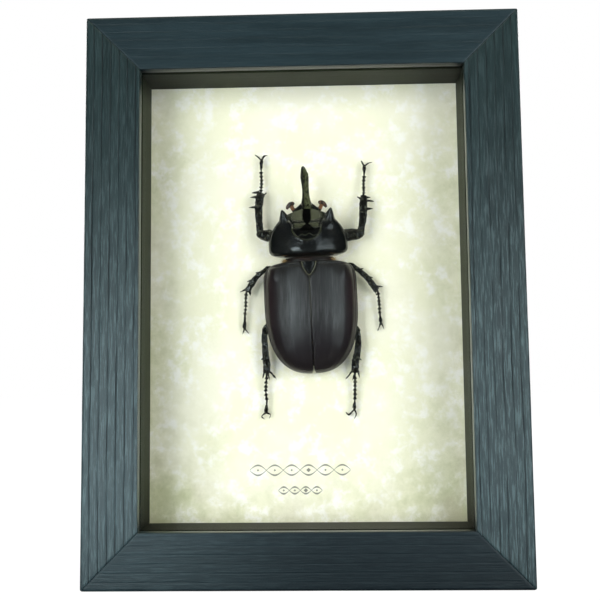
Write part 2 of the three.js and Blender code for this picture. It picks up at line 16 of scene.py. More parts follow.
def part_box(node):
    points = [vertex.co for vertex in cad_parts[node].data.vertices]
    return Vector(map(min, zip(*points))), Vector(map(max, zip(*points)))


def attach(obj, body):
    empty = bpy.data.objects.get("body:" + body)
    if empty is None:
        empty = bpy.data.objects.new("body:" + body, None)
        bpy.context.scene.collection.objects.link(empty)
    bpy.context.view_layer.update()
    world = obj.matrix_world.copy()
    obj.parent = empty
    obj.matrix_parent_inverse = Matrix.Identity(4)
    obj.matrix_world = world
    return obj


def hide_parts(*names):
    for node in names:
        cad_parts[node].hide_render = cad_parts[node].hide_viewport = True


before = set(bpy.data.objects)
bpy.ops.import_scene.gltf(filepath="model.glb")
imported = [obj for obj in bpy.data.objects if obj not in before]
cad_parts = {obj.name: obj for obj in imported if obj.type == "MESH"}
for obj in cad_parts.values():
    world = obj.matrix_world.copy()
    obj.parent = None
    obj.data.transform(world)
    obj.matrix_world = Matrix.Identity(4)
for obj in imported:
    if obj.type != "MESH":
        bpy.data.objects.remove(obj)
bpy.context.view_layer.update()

MM = 0.001
BODY = "root"


# Sizes taken from the frame


def box_mm(node):
    """The lowest and highest corner of a CAD node, in millimetres."""
    low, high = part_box(node)
    return Vector(low) / MM, Vector(high) / MM


RAIL_LOW, RAIL_HIGH = box_mm("frame_rail_bottom")
FRAME_HEIGHT = box_mm("frame_rail_top")[1].z
FRAME_WIDTH = 2 * RAIL_HIGH.x
FRAME_DEPTH = RAIL_HIGH.y - RAIL_LOW.y
FRONT_Y = RAIL_LOW.y
RAIL_FACE = RAIL_HIGH.z - RAIL_LOW.z
GLASS_LOW, GLASS_HIGH = box_mm("glass_pane")
BOARD_LOW, BOARD_HIGH = box_mm("specimen_board")
PAPER_Y = BOARD_LOW.y
LIP_DEPTH = GLASS_LOW.y - FRONT_Y
OPENING = Vector((FRAME_WIDTH / 2 - RAIL_FACE, 0, FRAME_HEIGHT / 2 - RAIL_FACE))
CENTRE_Z = FRAME_HEIGHT / 2
SHEET_FIT = 0.5
RABBET = GLASS_HIGH.x - OPENING.x + SHEET_FIT

SPECIMEN_X = 1.75
SPECIMEN_Z = 104
SPECIMEN_LEAN = math.radians(2)


def spot(u, v, h):
    """A point of the beetle in the frame's millimetres."""
    x = SPECIMEN_X + u * math.cos(SPECIMEN_LEAN) - v * math.sin(SPECIMEN_LEAN)
    z = SPECIMEN_Z + u * math.sin(SPECIMEN_LEAN) + v * math.cos(SPECIMEN_LEAN)
    return (x, PAPER_Y - h, z)


def spots(points):
    """The same for an array of points, one to a row."""
    u, v, h = np.asarray(points, float).T
    x = SPECIMEN_X + u * math.cos(SPECIMEN_LEAN) - v * math.sin(SPECIMEN_LEAN)
    z = SPECIMEN_Z + u * math.sin(SPECIMEN_LEAN) + v * math.cos(SPECIMEN_LEAN)
    return np.column_stack([x, PAPER_Y - h, z])


# Finishes


class Value:
    """A socket of a material's nodes. Arithmetic on it adds the Math nodes."""

    def __init__(self, finish, socket):
        self.finish = finish
        self.socket = socket

    def _math(self, operation, *terms):
        node = self.finish.tree.nodes.new("ShaderNodeMath")
        node.operation = operation
        for slot, term in zip(node.inputs, terms):
            self.finish.feed(slot, term)
        return Value(self.finish, node.outputs[0])

    def __add__(self, other):
        return self._math("ADD", self, other)

    def __sub__(self, other):
        return self._math("SUBTRACT", self, other)

    def __rsub__(self, other):
        return self._math("SUBTRACT", other, self)

    def __mul__(self, other):
        return self._math("MULTIPLY", self, other)

    def __truediv__(self, other):
        return self._math("DIVIDE", self, other)

    def __pow__(self, other):
        return self._math("POWER", self, other)

    def __abs__(self):
        return self._math("ABSOLUTE", self)

    def sine(self):
        return self._math("SINE", self)

    def most(self, other):
        return self._math("MAXIMUM", self, other)

    def rise(self, low, high):
        """0 below low, 1 above high and a smooth step between; low may be the larger."""
        outputs = self.finish.node(
            "ShaderNodeMapRange",
            {"interpolation_type": "SMOOTHSTEP"},
            {"Value": self, "From Min": min(low, high), "From Max": max(low, high)},
        )
        return outputs["Result"] if low < high else 1 - outputs["Result"]

    __radd__ = __add__
    __rmul__ = __mul__


class Finish:
    """A material whose sockets hold one value all over, until vary() or relief() feeds them."""

    def __init__(self, name, **sockets):
        self.material = bpy.data.materials.new(name)
        self.material.use_nodes = True
        self.tree = self.material.node_tree
        self.shader = self.tree.nodes["Principled BSDF"]
        for socket, value in sockets.items():
            self.shader.inputs[socket.replace("_", " ")].default_value = value
        coordinates = self.tree.nodes.new("ShaderNodeTexCoord").outputs["Object"]
        self.place = self.vector("SCALE", Value(self, coordinates), scale=1 / MM)
        axes = self.node("ShaderNodeSeparateXYZ", {}, {"Vector": self.place})
        self.x, self.y, self.z = axes["X"], axes["Y"], axes["Z"]

    def feed(self, slot, value):
        if isinstance(value, Value):
            self.tree.links.new(value.socket, slot)
        else:
            slot.default_value = value

    def node(self, kind, settings, inputs):
        """A node of that type. Its settings come first, then its sockets; returns its outputs by name."""
        node = self.tree.nodes.new(kind)
        for name, setting in settings.items():
            setattr(node, name, setting)
        for name, value in inputs.items():
            self.feed(node.inputs[name], value)
        return {output.name: Value(self, output) for output in node.outputs if output.enabled}

    def vector(self, operation, a, b=None, scale=None):
        node = self.tree.nodes.new("ShaderNodeVectorMath")
        node.operation = operation
        self.feed(node.inputs[0], a)
        if b is not None:
            self.feed(node.inputs[1], b)
        if scale is not None:
            node.inputs["Scale"].default_value = scale
        return Value(self, node.outputs[0])

    def cloud(self, size, stretch=(1, 1, 1), detail=4, rough=0.55, shift=(0, 0, 0)):
        """Noise from 0 to 1 in lumps of about size millimetres, longer along axes with a small stretch."""
        place = self.vector("ADD", self.vector("MULTIPLY", self.place, stretch), shift)
        inputs = {"Vector": place, "Scale": 1 / size, "Detail": detail, "Roughness": rough}
        return self.node("ShaderNodeTexNoise", {}, inputs)["Fac"]

    def pits(self, size):
        """Distance to the nearest of scattered points about size millimetres apart, 0 at each point."""
        return self.node("ShaderNodeTexVoronoi", {}, {"Vector": self.place, "Scale": 1 / size})["Distance"]

    def mark(self, name):
        """A value stored on the mesh's vertices."""
        return self.node("ShaderNodeAttribute", {"attribute_name": name}, {})["Fac"]

    def mix(self, factor, under, over):
        """Two colours mixed. A Mix node has several sockets of the same name, so these go by number."""
        node = self.tree.nodes.new("ShaderNodeMix")
        node.data_type = "RGBA"
        self.feed(node.inputs[0], factor)
        self.feed(node.inputs[6], under)
        self.feed(node.inputs[7], over)
        return Value(self, node.outputs[2])

    def vary(self, **sockets):
        for socket, value in sockets.items():
            self.feed(self.shader.inputs[socket.replace("_", " ")], value)

    def relief(self, *layers):
        """Bump layers, each a height from 0 to 1 and how deep it goes in millimetres."""
        normal = None
        for height, depth in layers:
            inputs = {"Height": height, "Distance": depth * MM, "Strength": 1.0}
            if normal:
                inputs["Normal"] = normal
            normal = self.node("ShaderNodeBump", {}, inputs)["Normal"]
        self.vary(Normal=normal)


def rgb(red, green, blue):
    """A linear colour from the usual 0 to 255 values."""

    def linear(value):
        value = value / 255
        return value / 12.92 if value <= 0.04045 else ((value + 0.055) / 1.055) ** 2.4

    return (linear(red), linear(green), linear(blue), 1)


def slate_paint(name, stretch, dark, light, streaky, sheen):
    """Blue-green slate paint rubbed into combed, open-grained wood; stretch is small along the grain.

    foot and right are distances from the frame's middle, as shares of half its height. Streaky paint gets
    painted sheen towards the foot: it is paler there, and its combed strands show more, partly as painted
    sheen. Paint that is less streaky gets painted shade at the foot's right.
    """
    paint = Finish(name, Coat_Weight=sheen, Coat_Roughness=0.36)
    groove = paint.mark("groove")
    strands = paint.cloud(0.5, stretch, detail=5, rough=0.7)
    bands = paint.cloud(3.2, stretch, detail=3)
    speck = paint.cloud(0.5, detail=3)
    tone = paint.mix(bands.rise(0.3, 0.7), rgb(*dark), rgb(*light))
    foot = (CENTRE_Z - paint.z) / CENTRE_Z
    right = paint.x / CENTRE_Z
    # comb strands grow stronger towards the foot: partly the comb's own grain, partly painted sheen
    combed = (0.2 + 0.8 * foot.rise(-0.9, 0.5)) * streaky
    tone = paint.mix(strands.rise(0.48, 0.38) * combed * 0.9, tone, rgb(20, 34, 40))
    tone = paint.mix(strands.rise(0.5, 0.58) * combed * 0.6, tone, rgb(90, 112, 116))
    # painted sheen: the paint is paler towards the foot, less so on the right
    pale = foot.rise(-0.7, 0.9) * (1 - right.rise(0, 0.6) * 0.5) * (0.32 * streaky)
    tone = paint.mix(pale, tone, rgb(84, 104, 112))
    # painted shade on the less streaky paint at the foot's right
    tone = paint.mix(foot.rise(0.5, 0.9) * right.rise(-0.6, 0.1) * (1 - streaky), tone, rgb(8, 16, 23))
    tone = paint.mix(speck.rise(0.62, 0.75) * (0.25 * streaky), tone, rgb(84, 104, 108))
    tone = paint.mix(groove.rise(0.1, 0.8) * 0.9, tone, rgb(9, 17, 22))
    paint.vary(Base_Color=tone, Roughness=0.28 + 0.14 * bands + 0.3 * groove)
    paint.relief((strands, 0.3 * streaky), (speck, 0.02))
    return paint.material


def glass():
    """Plain clear glass."""
    pane = Finish("clear_glass", Base_Color=(1, 1, 1, 1), Roughness=0, Transmission_Weight=1, IOR=1.45)
    return pane.material


# Heights up the frame over which painted shade darkens the spacers towards the foot
SPACER_SHADE_HEIGHTS = (40, 20)  # heights up the frame


def spacer_card(name, stretch, upright):
    """Olive-brown covered card with faint lines along it, and painted shade towards the corners and the foot.
    """
    card = Finish(name, Roughness=0.6, Specular_IOR_Level=0.25)
    lines = card.cloud(0.6, stretch, detail=4, rough=0.65)
    tone = card.mix(lines.rise(0.3, 0.7), rgb(32, 38, 25), rgb(42, 49, 33))
    to_corner = abs(card.z - CENTRE_Z) / OPENING.z if upright else abs(card.x) / OPENING.x
    # painted shade towards the corners
    tone = card.mix(to_corner.rise(0.86 if upright else 0.55, 1.02) * 0.75, tone, rgb(12, 14, 10))
    # painted shade towards the foot
    tone = card.mix(card.z.rise(*SPACER_SHADE_HEIGHTS) * 0.75, tone, rgb(12, 14, 10))
    card.vary(Base_Color=tone)
    card.relief((lines, 0.05))
    return card.material


def parchment():
    """Cloudy parchment paper: cream in the middle, blotched olive and beige towards its sides and foot."""
    sheet = Finish("mottled_parchment", Roughness=0.8, Specular_IOR_Level=0.25)
    cloud = sheet.cloud(11, detail=8, rough=0.66)
    blotch = sheet.cloud(5.5, detail=8, rough=0.72, shift=(31, 0, 12))
    warm = sheet.cloud(26, detail=3, shift=(7, 0, 55))
    fibre = sheet.cloud(0.7, (1, 1, 2.2), detail=4, rough=0.7)
    side = abs(sheet.x) / OPENING.x
    foot = ((CENTRE_Z - sheet.z) / OPENING.z).most(0)
    edge = (side**3) * 0.42 + (foot**4) * 0.5
    clouded = (cloud - 0.5) * 1.5 + (0.5 - blotch) * 1.2
    shade = (edge + clouded * (0.5 + edge)).rise(0.1, 1.1)
    tone = sheet.mix(warm.rise(0.4, 0.62), rgb(243, 241, 213), rgb(247, 244, 222))
    tone = sheet.mix(blotch.rise(0.48, 0.64), tone, rgb(253, 251, 240))
    dull = sheet.mix(warm.rise(0.4, 0.6), rgb(200, 203, 160), rgb(208, 205, 172))
    tone = sheet.mix(shade, tone, dull)
    tone = sheet.mix(fibre.rise(0.55, 0.8) * 0.12, tone, rgb(214, 214, 180))
    tone = sheet.mix(flourish(sheet) * 0.8, tone, rgb(78, 80, 77))
    sheet.vary(Base_Color=tone)
    sheet.relief((fibre, 0.015))
    return sheet.material


ORNAMENT_X = -2.4
BRAIDS = [
    # height up the frame, half length, wave height, length of one loop
    (36.2, 17.5, 1.7, 5.83),
    (29.3, 7.6, 1.15, 3.8),
]
PEN_THIN = 0.11
PEN_SWELL = 0.16


def flourish(sheet):
    """The ink of two plain pen braids under the beetle, each with a dot in every loop and one diamond."""
    ink = None
    along = sheet.x - ORNAMENT_X
    for height, half, wave, loop in BRAIDS:
        across = sheet.z - height
        turn = along * (math.pi / loop)
        inside = (abs(along) / half).rise(1.0, 0.985)
        for side in (1, -1):
            line = turn.sine() * (side * wave)
            width = PEN_THIN + PEN_SWELL * (turn.sine() ** 2)
            stroke = (abs(across - line) / width).rise(1.5, 0.6) * inside
            ink = stroke if ink is None else ink.most(stroke)
        middle = abs(along - loop / 2)
        to_dot = abs((turn - math.pi / 2).sine())
        dot = (to_dot * (loop / math.pi) + abs(across)).rise(0.5, 0.3) * inside
        diamond = (middle + abs(across)).rise(0.85, 0.7)
        ink = ink.most(dot).most(diamond)
    return ink


def hardboard():
    """Brown hardboard, faintly fibrous."""
    board = Finish("brown_hardboard", Roughness=0.8)
    fibre = board.cloud(0.8, detail=5, rough=0.7)
    board.vary(Base_Color=board.mix(fibre, rgb(96, 66, 42), rgb(132, 98, 66)))
    board.relief((fibre, 0.06))
    return board.material


def kraft_paper():
    """Brown wrapping paper with fine flecks and a faint pucker from the paste."""
    paper = Finish("kraft_dust_cover", Roughness=0.78)
    fleck = paper.cloud(0.5, (1, 1, 3), detail=5, rough=0.75)
    pucker = paper.cloud(22, detail=3)
    tone = paper.mix(fleck.rise(0.3, 0.75), rgb(178, 140, 96), rgb(150, 112, 72))
    tone = paper.mix(pucker.rise(0.35, 0.7) * 0.3, tone, rgb(196, 160, 116))
    paper.vary(Base_Color=tone)
    paper.relief((pucker, 0.5), (fleck, 0.03))
    return paper.material


def zinc_steel():
    """Zinc-plated steel, brushed along its length and a little tarnished."""
    metal = Finish("zinc_steel", Metallic=1.0)
    brushed = metal.cloud(0.5, (0.15, 1, 1), detail=4, rough=0.7)
    tarnish = metal.cloud(4, detail=4)
    metal.vary(
        Base_Color=metal.mix(tarnish.rise(0.45, 0.75) * 0.6, rgb(196, 193, 182), rgb(150, 138, 112)),
        Roughness=0.25 + 0.25 * brushed,
    )
    metal.relief((brushed, 0.02))
    return metal.material


HORN_X = spot(0, 28.65, 0)[0]  # the horn's axis, about halfway along it


def horn_painted_reflection(plate):
    """Painted olive reflection in long soft strands along the horn, on its right and near its axis."""
    across = plate.x - HORN_X
    strand = plate.cloud(0.8, (1, 1, 0.05), detail=3)
    return strand.rise(0.28, 0.62) * across.rise(-1.2, 0.3) * abs(across).rise(2.6, 1.4)


def glossy_chitin(name, horn=False):
    """Black glossy plates with dimples and a pale edge where they are marked.

    Some marked areas get painted olive reflection and highlight, others a dull black painted dark reflection.
    """
    plate = Finish(name, Coat_Roughness=0.16)
    haze = plate.cloud(2.5, detail=4)
    dimples = plate.pits(0.8).rise(0.0, 0.35)
    painted_dark_reflection = plate.mark("painted_dark_reflection")
    tone = plate.mix(haze.rise(0.4, 0.7), rgb(6, 8, 11), rgb(14, 15, 16))
    if horn:
        # painted olive reflection along the horn
        tone = plate.mix(horn_painted_reflection(plate), tone, rgb(80, 84, 58))
    else:
        # painted olive reflection and highlight where the mesh marks it
        tone = plate.mix(plate.mark("painted_reflection"), tone, rgb(54, 57, 40))
    tone = plate.mix(plate.mark("pale_edge") * 0.6, tone, rgb(118, 116, 92))
    # where the mesh marks painted dark reflection, the plate turns dull, metallic and black
    plate.vary(
        Base_Color=tone,
        Roughness=0.11 + 0.1 * haze + 0.4 * painted_dark_reflection,
        Metallic=painted_dark_reflection,
        Coat_Weight=0.4 - 0.4 * painted_dark_reflection,
    )
    plate.relief((dimples * plate.mark("dimpled"), 0.12), (haze, 0.02))
    return plate.material


# Heights up the frame over which painted shade darkens the wing cases' rear and their front
REAR_SHADE_HEIGHTS = (SPECIMEN_Z - 12, SPECIMEN_Z - 26)
FRONT_SHADE_HEIGHTS = (SPECIMEN_Z - 6, SPECIMEN_Z + 2)


def satin_chitin():
    """The wing cases: charcoal and streaked along the back, maroon down the flanks, painted shade at both
    ends.

    The streaks along the back are partly painted sheen.
    """
    case = Finish("satin_chitin", Specular_IOR_Level=0.75, Coat_Weight=0.08, Coat_Roughness=0.2)
    flank = case.mark("flank")
    mottle = case.cloud(1.6, (1, 1, 0.4), detail=5)
    grain = case.cloud(0.35, detail=4, rough=0.7)
    streak_and_sheen = case.cloud(0.7, (1, 1, 0.06), detail=4)
    tone = case.mix(mottle.rise(0.35, 0.7), rgb(22, 21, 23), rgb(33, 33, 34))
    # pale streaks along the back: partly the wing cases' own colour, partly painted sheen
    tone = case.mix(streak_and_sheen.rise(0.46, 0.64) * flank.rise(0.6, 0.3) * 0.6, tone, rgb(68, 68, 70))
    tone = case.mix(flank.rise(0.35, 0.7), tone, rgb(25, 9, 17))
    # painted shade towards the rear
    tone = case.mix(case.z.rise(*REAR_SHADE_HEIGHTS) * 0.94, tone, rgb(11, 2, 9))
    # painted shade towards the front
    tone = case.mix(case.z.rise(*FRONT_SHADE_HEIGHTS) * 0.6, tone, rgb(10, 10, 11))
    tone = case.mix(flank.rise(0.84, 0.93), tone, rgb(20, 20, 12))
    tone = case.mix(case.mark("suture") * 0.4, tone, rgb(96, 96, 84))
    dull_margin = 0.45 * flank.rise(0.82, 0.9)
    case.vary(Base_Color=tone, Roughness=0.26 + 0.1 * mottle + 0.08 * streak_and_sheen + dull_margin)
    case.relief((grain, 0.04), (mottle, 0.03))
    return case.material


def leg_chitin():
    """Black glossy legs, finely lumpy, with grey-olive flecks on them."""
    leg = Finish("leg_chitin", Coat_Weight=0.2, Coat_Roughness=0.06)
    lumps = leg.cloud(1.5, detail=1.5, rough=0.5)
    olive_flecks = leg.cloud(0.8, detail=4, rough=0.65)
    leg.vary(
        Base_Color=leg.mix(olive_flecks.rise(0.54, 0.62) * 0.7, rgb(6, 6, 7), rgb(78, 80, 66)),
        Roughness=0.06 + 0.1 * olive_flecks,
    )
    leg.relief((lumps, 0.26), (olive_flecks, 0.015))
    return leg.material


def brown_chitin(name, dark, light):
    """Patchy brown chitin with a few pale strands."""
    plate = Finish(name, Coat_Weight=0.2, Coat_Roughness=0.1)
    patch = plate.cloud(2.2, detail=4)
    strand = plate.cloud(0.5, (1, 1, 0.2), detail=2)
    tone = plate.mix(patch.rise(0.4, 0.65), rgb(*dark), rgb(*light))
    tone = plate.mix(strand.rise(0.6, 0.68) * 0.35, tone, rgb(150, 112, 86))
    plate.vary(Base_Color=tone, Roughness=0.25 + 0.3 * patch)
    plate.relief((patch, 0.06))
    return plate.material


def golden_hair():
    """The fringe of pale hairs at the neck."""
    hair = Finish("golden_hair", Base_Color=rgb(188, 160, 108), Roughness=0.45)
    return hair.material


PAINT_UPRIGHT = slate_paint("slate_paint_upright", (1, 1, 0.06), (20, 35, 37), (28, 45, 47), 1.0, 0.75)
PAINT_LEVEL = slate_paint("slate_paint_level", (0.06, 1, 1), (25, 38, 43), (31, 46, 52), 0.3, 0.12)
GLASS = glass()
CARD_UPRIGHT = spacer_card("spacer_card_upright", (1, 1, 0.04), True)
CARD_LEVEL = spacer_card("spacer_card_level", (0.04, 1, 1), False)
PARCHMENT = parchment()
HARDBOARD = hardboard()
KRAFT = kraft_paper()
STEEL = zinc_steel()
GLOSSY = glossy_chitin("glossy_chitin")
HORN = glossy_chitin("horn_chitin", horn=True)
SATIN = satin_chitin()
LEG = leg_chitin()
BROWN = brown_chitin("brown_chitin", (10, 6, 6), (32, 15, 12))
AMBER = brown_chitin("amber_chitin", (96, 64, 40), (166, 120, 78))
CLUB = brown_chitin("club_chitin", (22, 13, 10), (52, 28, 16))
HAIR = golden_hair()


# Meshes


def piece(name, points, faces, material, stands_for=(), smooth=True, marks=None):
    """A mesh of the object, given in millimetres. It rides on the frame and stands for those CAD nodes."""
    mesh = bpy.data.meshes.new(name)
    mesh.from_pydata((np.asarray(points, float) * MM).tolist(), [], [tuple(int(i) for i in f) for f in faces])
    for mark, values in (marks or {}).items():
        mesh.attributes.new(mark, "FLOAT", "POINT").data.foreach_set("value", np.asarray(values, np.float32))
    mesh.materials.append(material)
    if smooth:
        mesh.shade_smooth()
    else:
        mesh.shade_flat()
    obj = bpy.data.objects.new(name, mesh)
    bpy.context.scene.collection.objects.link(obj)
    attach(obj, BODY)
    if stands_for:
        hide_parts(*stands_for)
    return obj


def skin(rings, closed=True, capped=True):
    """Points and outward faces of a surface over rings with the same number of points."""
    rings = np.asarray(rings, float)
    count, around = rings.shape[:2]
    points = rings.reshape(-1, 3)
    faces = []
    for ring in range(count - 1):
        for i in range(around if closed else around - 1):
            a = ring * around + i
            b = ring * around + (i + 1) % around
            faces.append((a, b, b + around, a + around))
    if capped:
        faces.append(tuple(range(around))[::-1])
        faces.append(tuple(range((count - 1) * around, count * around)))
    if signed_volume(points, faces) < 0:
        faces = [face[::-1] for face in faces]
    return points, faces


def signed_volume(points, faces):
    """Six times the volume inside the faces, negative when they look inwards."""
    total = 0.0
    for corners in {len(face) for face in faces}:
        group = np.array([face for face in faces if len(face) == corners])
        for i in range(1, corners - 1):
            crossed = np.cross(points[group[:, i]], points[group[:, i + 1]])
            total += np.einsum("ij,ij->", points[group[:, 0]], crossed)
    return total


def merged(parts):
    """Several (points, faces) as one."""
    points, faces, base = [], [], 0
    for part_points, part_faces in parts:
        points.append(part_points)
        faces += [tuple(i + base for i in face) for face in part_faces]
        base += len(part_points)
    return np.concatenate(points), faces


def smooth_path(points, steps):
    """A Catmull-Rom curve through the points, with that many steps between each two."""
    points = np.asarray(points, float)
    padded = np.vstack([2 * points[0] - points[1], points, 2 * points[-1] - points[-2]])
    curve = []
    for i in range(len(points) - 1):
        p0, p1, p2, p3 = padded[i : i + 4]
        square = 2 * p0 - 5 * p1 + 4 * p2 - p3
        cube = 3 * p1 - p0 - 3 * p2 + p3
        for t in np.linspace(0, 1, steps, endpoint=False):
            curve.append(0.5 * (2 * p1 + (p2 - p0) * t + square * t**2 + cube * t**3))
    curve.append(points[-1])
    return np.array(curve)


def limb(path, half_widths, sides=14, flat=1.0, steps=5, ridge=0.0):
    """A closed tapering tube in u, v, h. flat is its height by its width, ridge how far four ribs rise."""
    nodes = smooth_path(np.column_stack([np.asarray(path, float), half_widths]), steps)
    centres, radii = nodes[:, :3], np.maximum(nodes[:, 3], 0.02)
    rings = []
    for i, (centre, radius) in enumerate(zip(centres, radii)):
        along = centres[min(i + 1, len(centres) - 1)] - centres[max(i - 1, 0)]
        along /= np.linalg.norm(along)
        side = np.cross(along, (0, 0, 1))
        side /= np.linalg.norm(side)
        up = np.cross(side, along)
        angles = np.arange(sides) * 2 * math.pi / sides
        reach = (radius * (1 + ridge * np.cos(4 * angles + math.pi)))[:, None]
        rings.append(centre + reach * (np.outer(np.cos(angles), side) + flat * np.outer(np.sin(angles), up)))
    return skin(rings)


def ball(centre, radii, rows=10, sides=16):
    """A closed ellipsoid in u, v, h."""
    rings = []
    for i in range(rows + 1):
        tilt = math.pi * (i + 0.02) / (rows + 0.04)
        angles = np.arange(sides) * 2 * math.pi / sides
        wide, tall = math.sin(tilt), math.cos(tilt)
        ring = np.column_stack([np.cos(angles) * wide, np.sin(angles) * wide, np.full(sides, tall)])
        rings.append(np.asarray(centre) + ring * radii)
    return skin(rings)


def lumps(points, size):
    """A gently bumpy field between about -1 and 1 over points, its bumps about size apart."""
    draw = np.random.default_rng(17)
    field = np.zeros(len(points))
    for _ in range(9):
        direction = draw.normal(size=3)
        direction *= 2 * math.pi / (size * draw.uniform(1.2, 2.6) * np.linalg.norm(direction))
        field += np.sin(points @ direction + draw.uniform(0, 6.28))
    return field / 3


def fused(name, parts, grain, relax, material, stands_for=(), bumpy=0.0):
    """One closed skin over parts that run into each other, with softened joints. grain is its mesh size."""
    points, faces = merged(parts)
    rough = bpy.data.meshes.new(name + "_parts")
    rough.from_pydata(points.tolist(), [], faces)
    lump = bpy.data.objects.new(name + "_parts", rough)
    bpy.context.scene.collection.objects.link(lump)
    remesh = lump.modifiers.new("fuse", "REMESH")
    remesh.mode = "VOXEL"
    remesh.voxel_size = grain
    remesh.use_smooth_shade = True
    soften = lump.modifiers.new("soften", "SMOOTH")
    soften.factor = 0.5
    soften.iterations = relax
    solid = bpy.data.meshes.new_from_object(lump.evaluated_get(bpy.context.evaluated_depsgraph_get()))
    bpy.data.objects.remove(lump)
    bpy.data.meshes.remove(rough)
    where = np.empty(len(solid.vertices) * 3)
    solid.vertices.foreach_get("co", where)
    where = where.reshape(-1, 3)
    if bumpy:
        normals = np.empty(len(solid.vertices) * 3)
        solid.vertices.foreach_get("normal", normals)
        where = where + normals.reshape(-1, 3) * (lumps(where, 1.1) * bumpy)[:, None]
    where = spots(where)
    faces = [tuple(polygon.vertices) for polygon in solid.polygons]
    if signed_volume(where, faces) < 0:
        faces = [face[::-1] for face in faces]
    bpy.data.meshes.remove(solid)
    return piece(name, where, faces, material, stands_for)


THORN_FACES = [(0, 2, 1), (0, 1, 3), (1, 2, 3), (2, 0, 3)]


def bristles(name, roots, tips, half_width, material):
    """Fine hairs, each a three-sided thorn from its root to its tip, given in u, v, h."""
    points, faces = [], []
    for root, tip in zip(np.asarray(roots, float), np.asarray(tips, float)):
        along = tip - root
        side = np.cross(along, (0.31, 0.52, 0.79))
        side /= np.linalg.norm(side)
        other = np.cross(side, along / np.linalg.norm(along))
        base = len(points)
        for turn in range(3):
            angle = 2 * math.pi * turn / 3
            points.append(root + half_width * (math.cos(angle) * side + math.sin(angle) * other))
        points.append(tip)
        faces += [tuple(base + corner for corner in face) for face in THORN_FACES]
    return piece(name, spots(points), faces, material, smooth=False)


# The frame's rails

OUTER_ROUND = 1.0
SIGHT_ROUND = 0.45
MITRE_GAP = 0.05
MITRE_SOFT = 0.14  # how far the front face is eased down at a mitre
GROOVE_PITCH = 2.85
GROOVE_WIDTH = 0.19
GROOVE_DEPTH = 0.26
SIDE_CUT = 0.6  # share of that depth on the rails' outer sides
LEVEL_CUT = 0.22  # share of it on the top and bottom rails' faces
FACE_STEP = 0.115
RAIL_SEEDS = {"bottom": 3, "right": 11, "top": 23, "left": 37}


def rail_section():
    """(out, deep) round the moulding: outer side, front face, lip, rabbet and back."""
    quarter = np.linspace(0, math.pi / 2, 7)
    outer = [(OUTER_ROUND * (1 - math.sin(a)), OUTER_ROUND * (1 - math.cos(a))) for a in quarter[::-1]]
    sight = [(RAIL_FACE - SIGHT_ROUND * (1 - math.sin(a)), SIGHT_ROUND * (1 - math.cos(a))) for a in quarter]
    steps = int((RAIL_FACE - OUTER_ROUND - SIGHT_ROUND) / FACE_STEP)
    face = [(out, 0.0) for out in np.linspace(OUTER_ROUND, RAIL_FACE - SIGHT_ROUND, steps + 1)[1:-1]]
    side = [(0.0, deep) for deep in np.linspace(FRAME_DEPTH, OUTER_ROUND, 60)[:-1]]
    inner = [
        (RAIL_FACE, LIP_DEPTH * 0.5),
        (RAIL_FACE, LIP_DEPTH),
        (RAIL_FACE - RABBET, LIP_DEPTH),
        (RAIL_FACE - RABBET, FRAME_DEPTH * 0.5),
        (RAIL_FACE - RABBET, FRAME_DEPTH),
    ]
    return np.array(side + outer + face + sight + inner)


def groove_depth(across, along, seed):
    """How deep the comb and the open grain cut at places across and along the rail."""
    rows, columns = across.shape
    depth = np.zeros_like(across)
    for i in range(rows):
        for j in range(columns):
            s, t = across[i, j], along[i, j]
            sway = 0.35 * noise.noise((seed, t * 0.03, s * 0.05))
            shiver = 0.1 * noise.noise((seed, t * 0.2, s * 0.2))
            phase = (s + (sway + shiver)) / GROOVE_PITCH
            nearest = math.floor(phase + 0.5)
            off = (phase - nearest) * GROOVE_PITCH
            strength = 0.65 + 0.6 * noise.noise((t * 0.05, nearest * 3.7, seed))
            depth[i, j] = max(0.0, strength) * math.exp(-((off / GROOVE_WIDTH) ** 2))
            fine = noise.noise((s * 2.6, t * 0.06, seed + 5.0))
            depth[i, j] += 0.35 * max(0.0, fine - 0.15)
    return depth


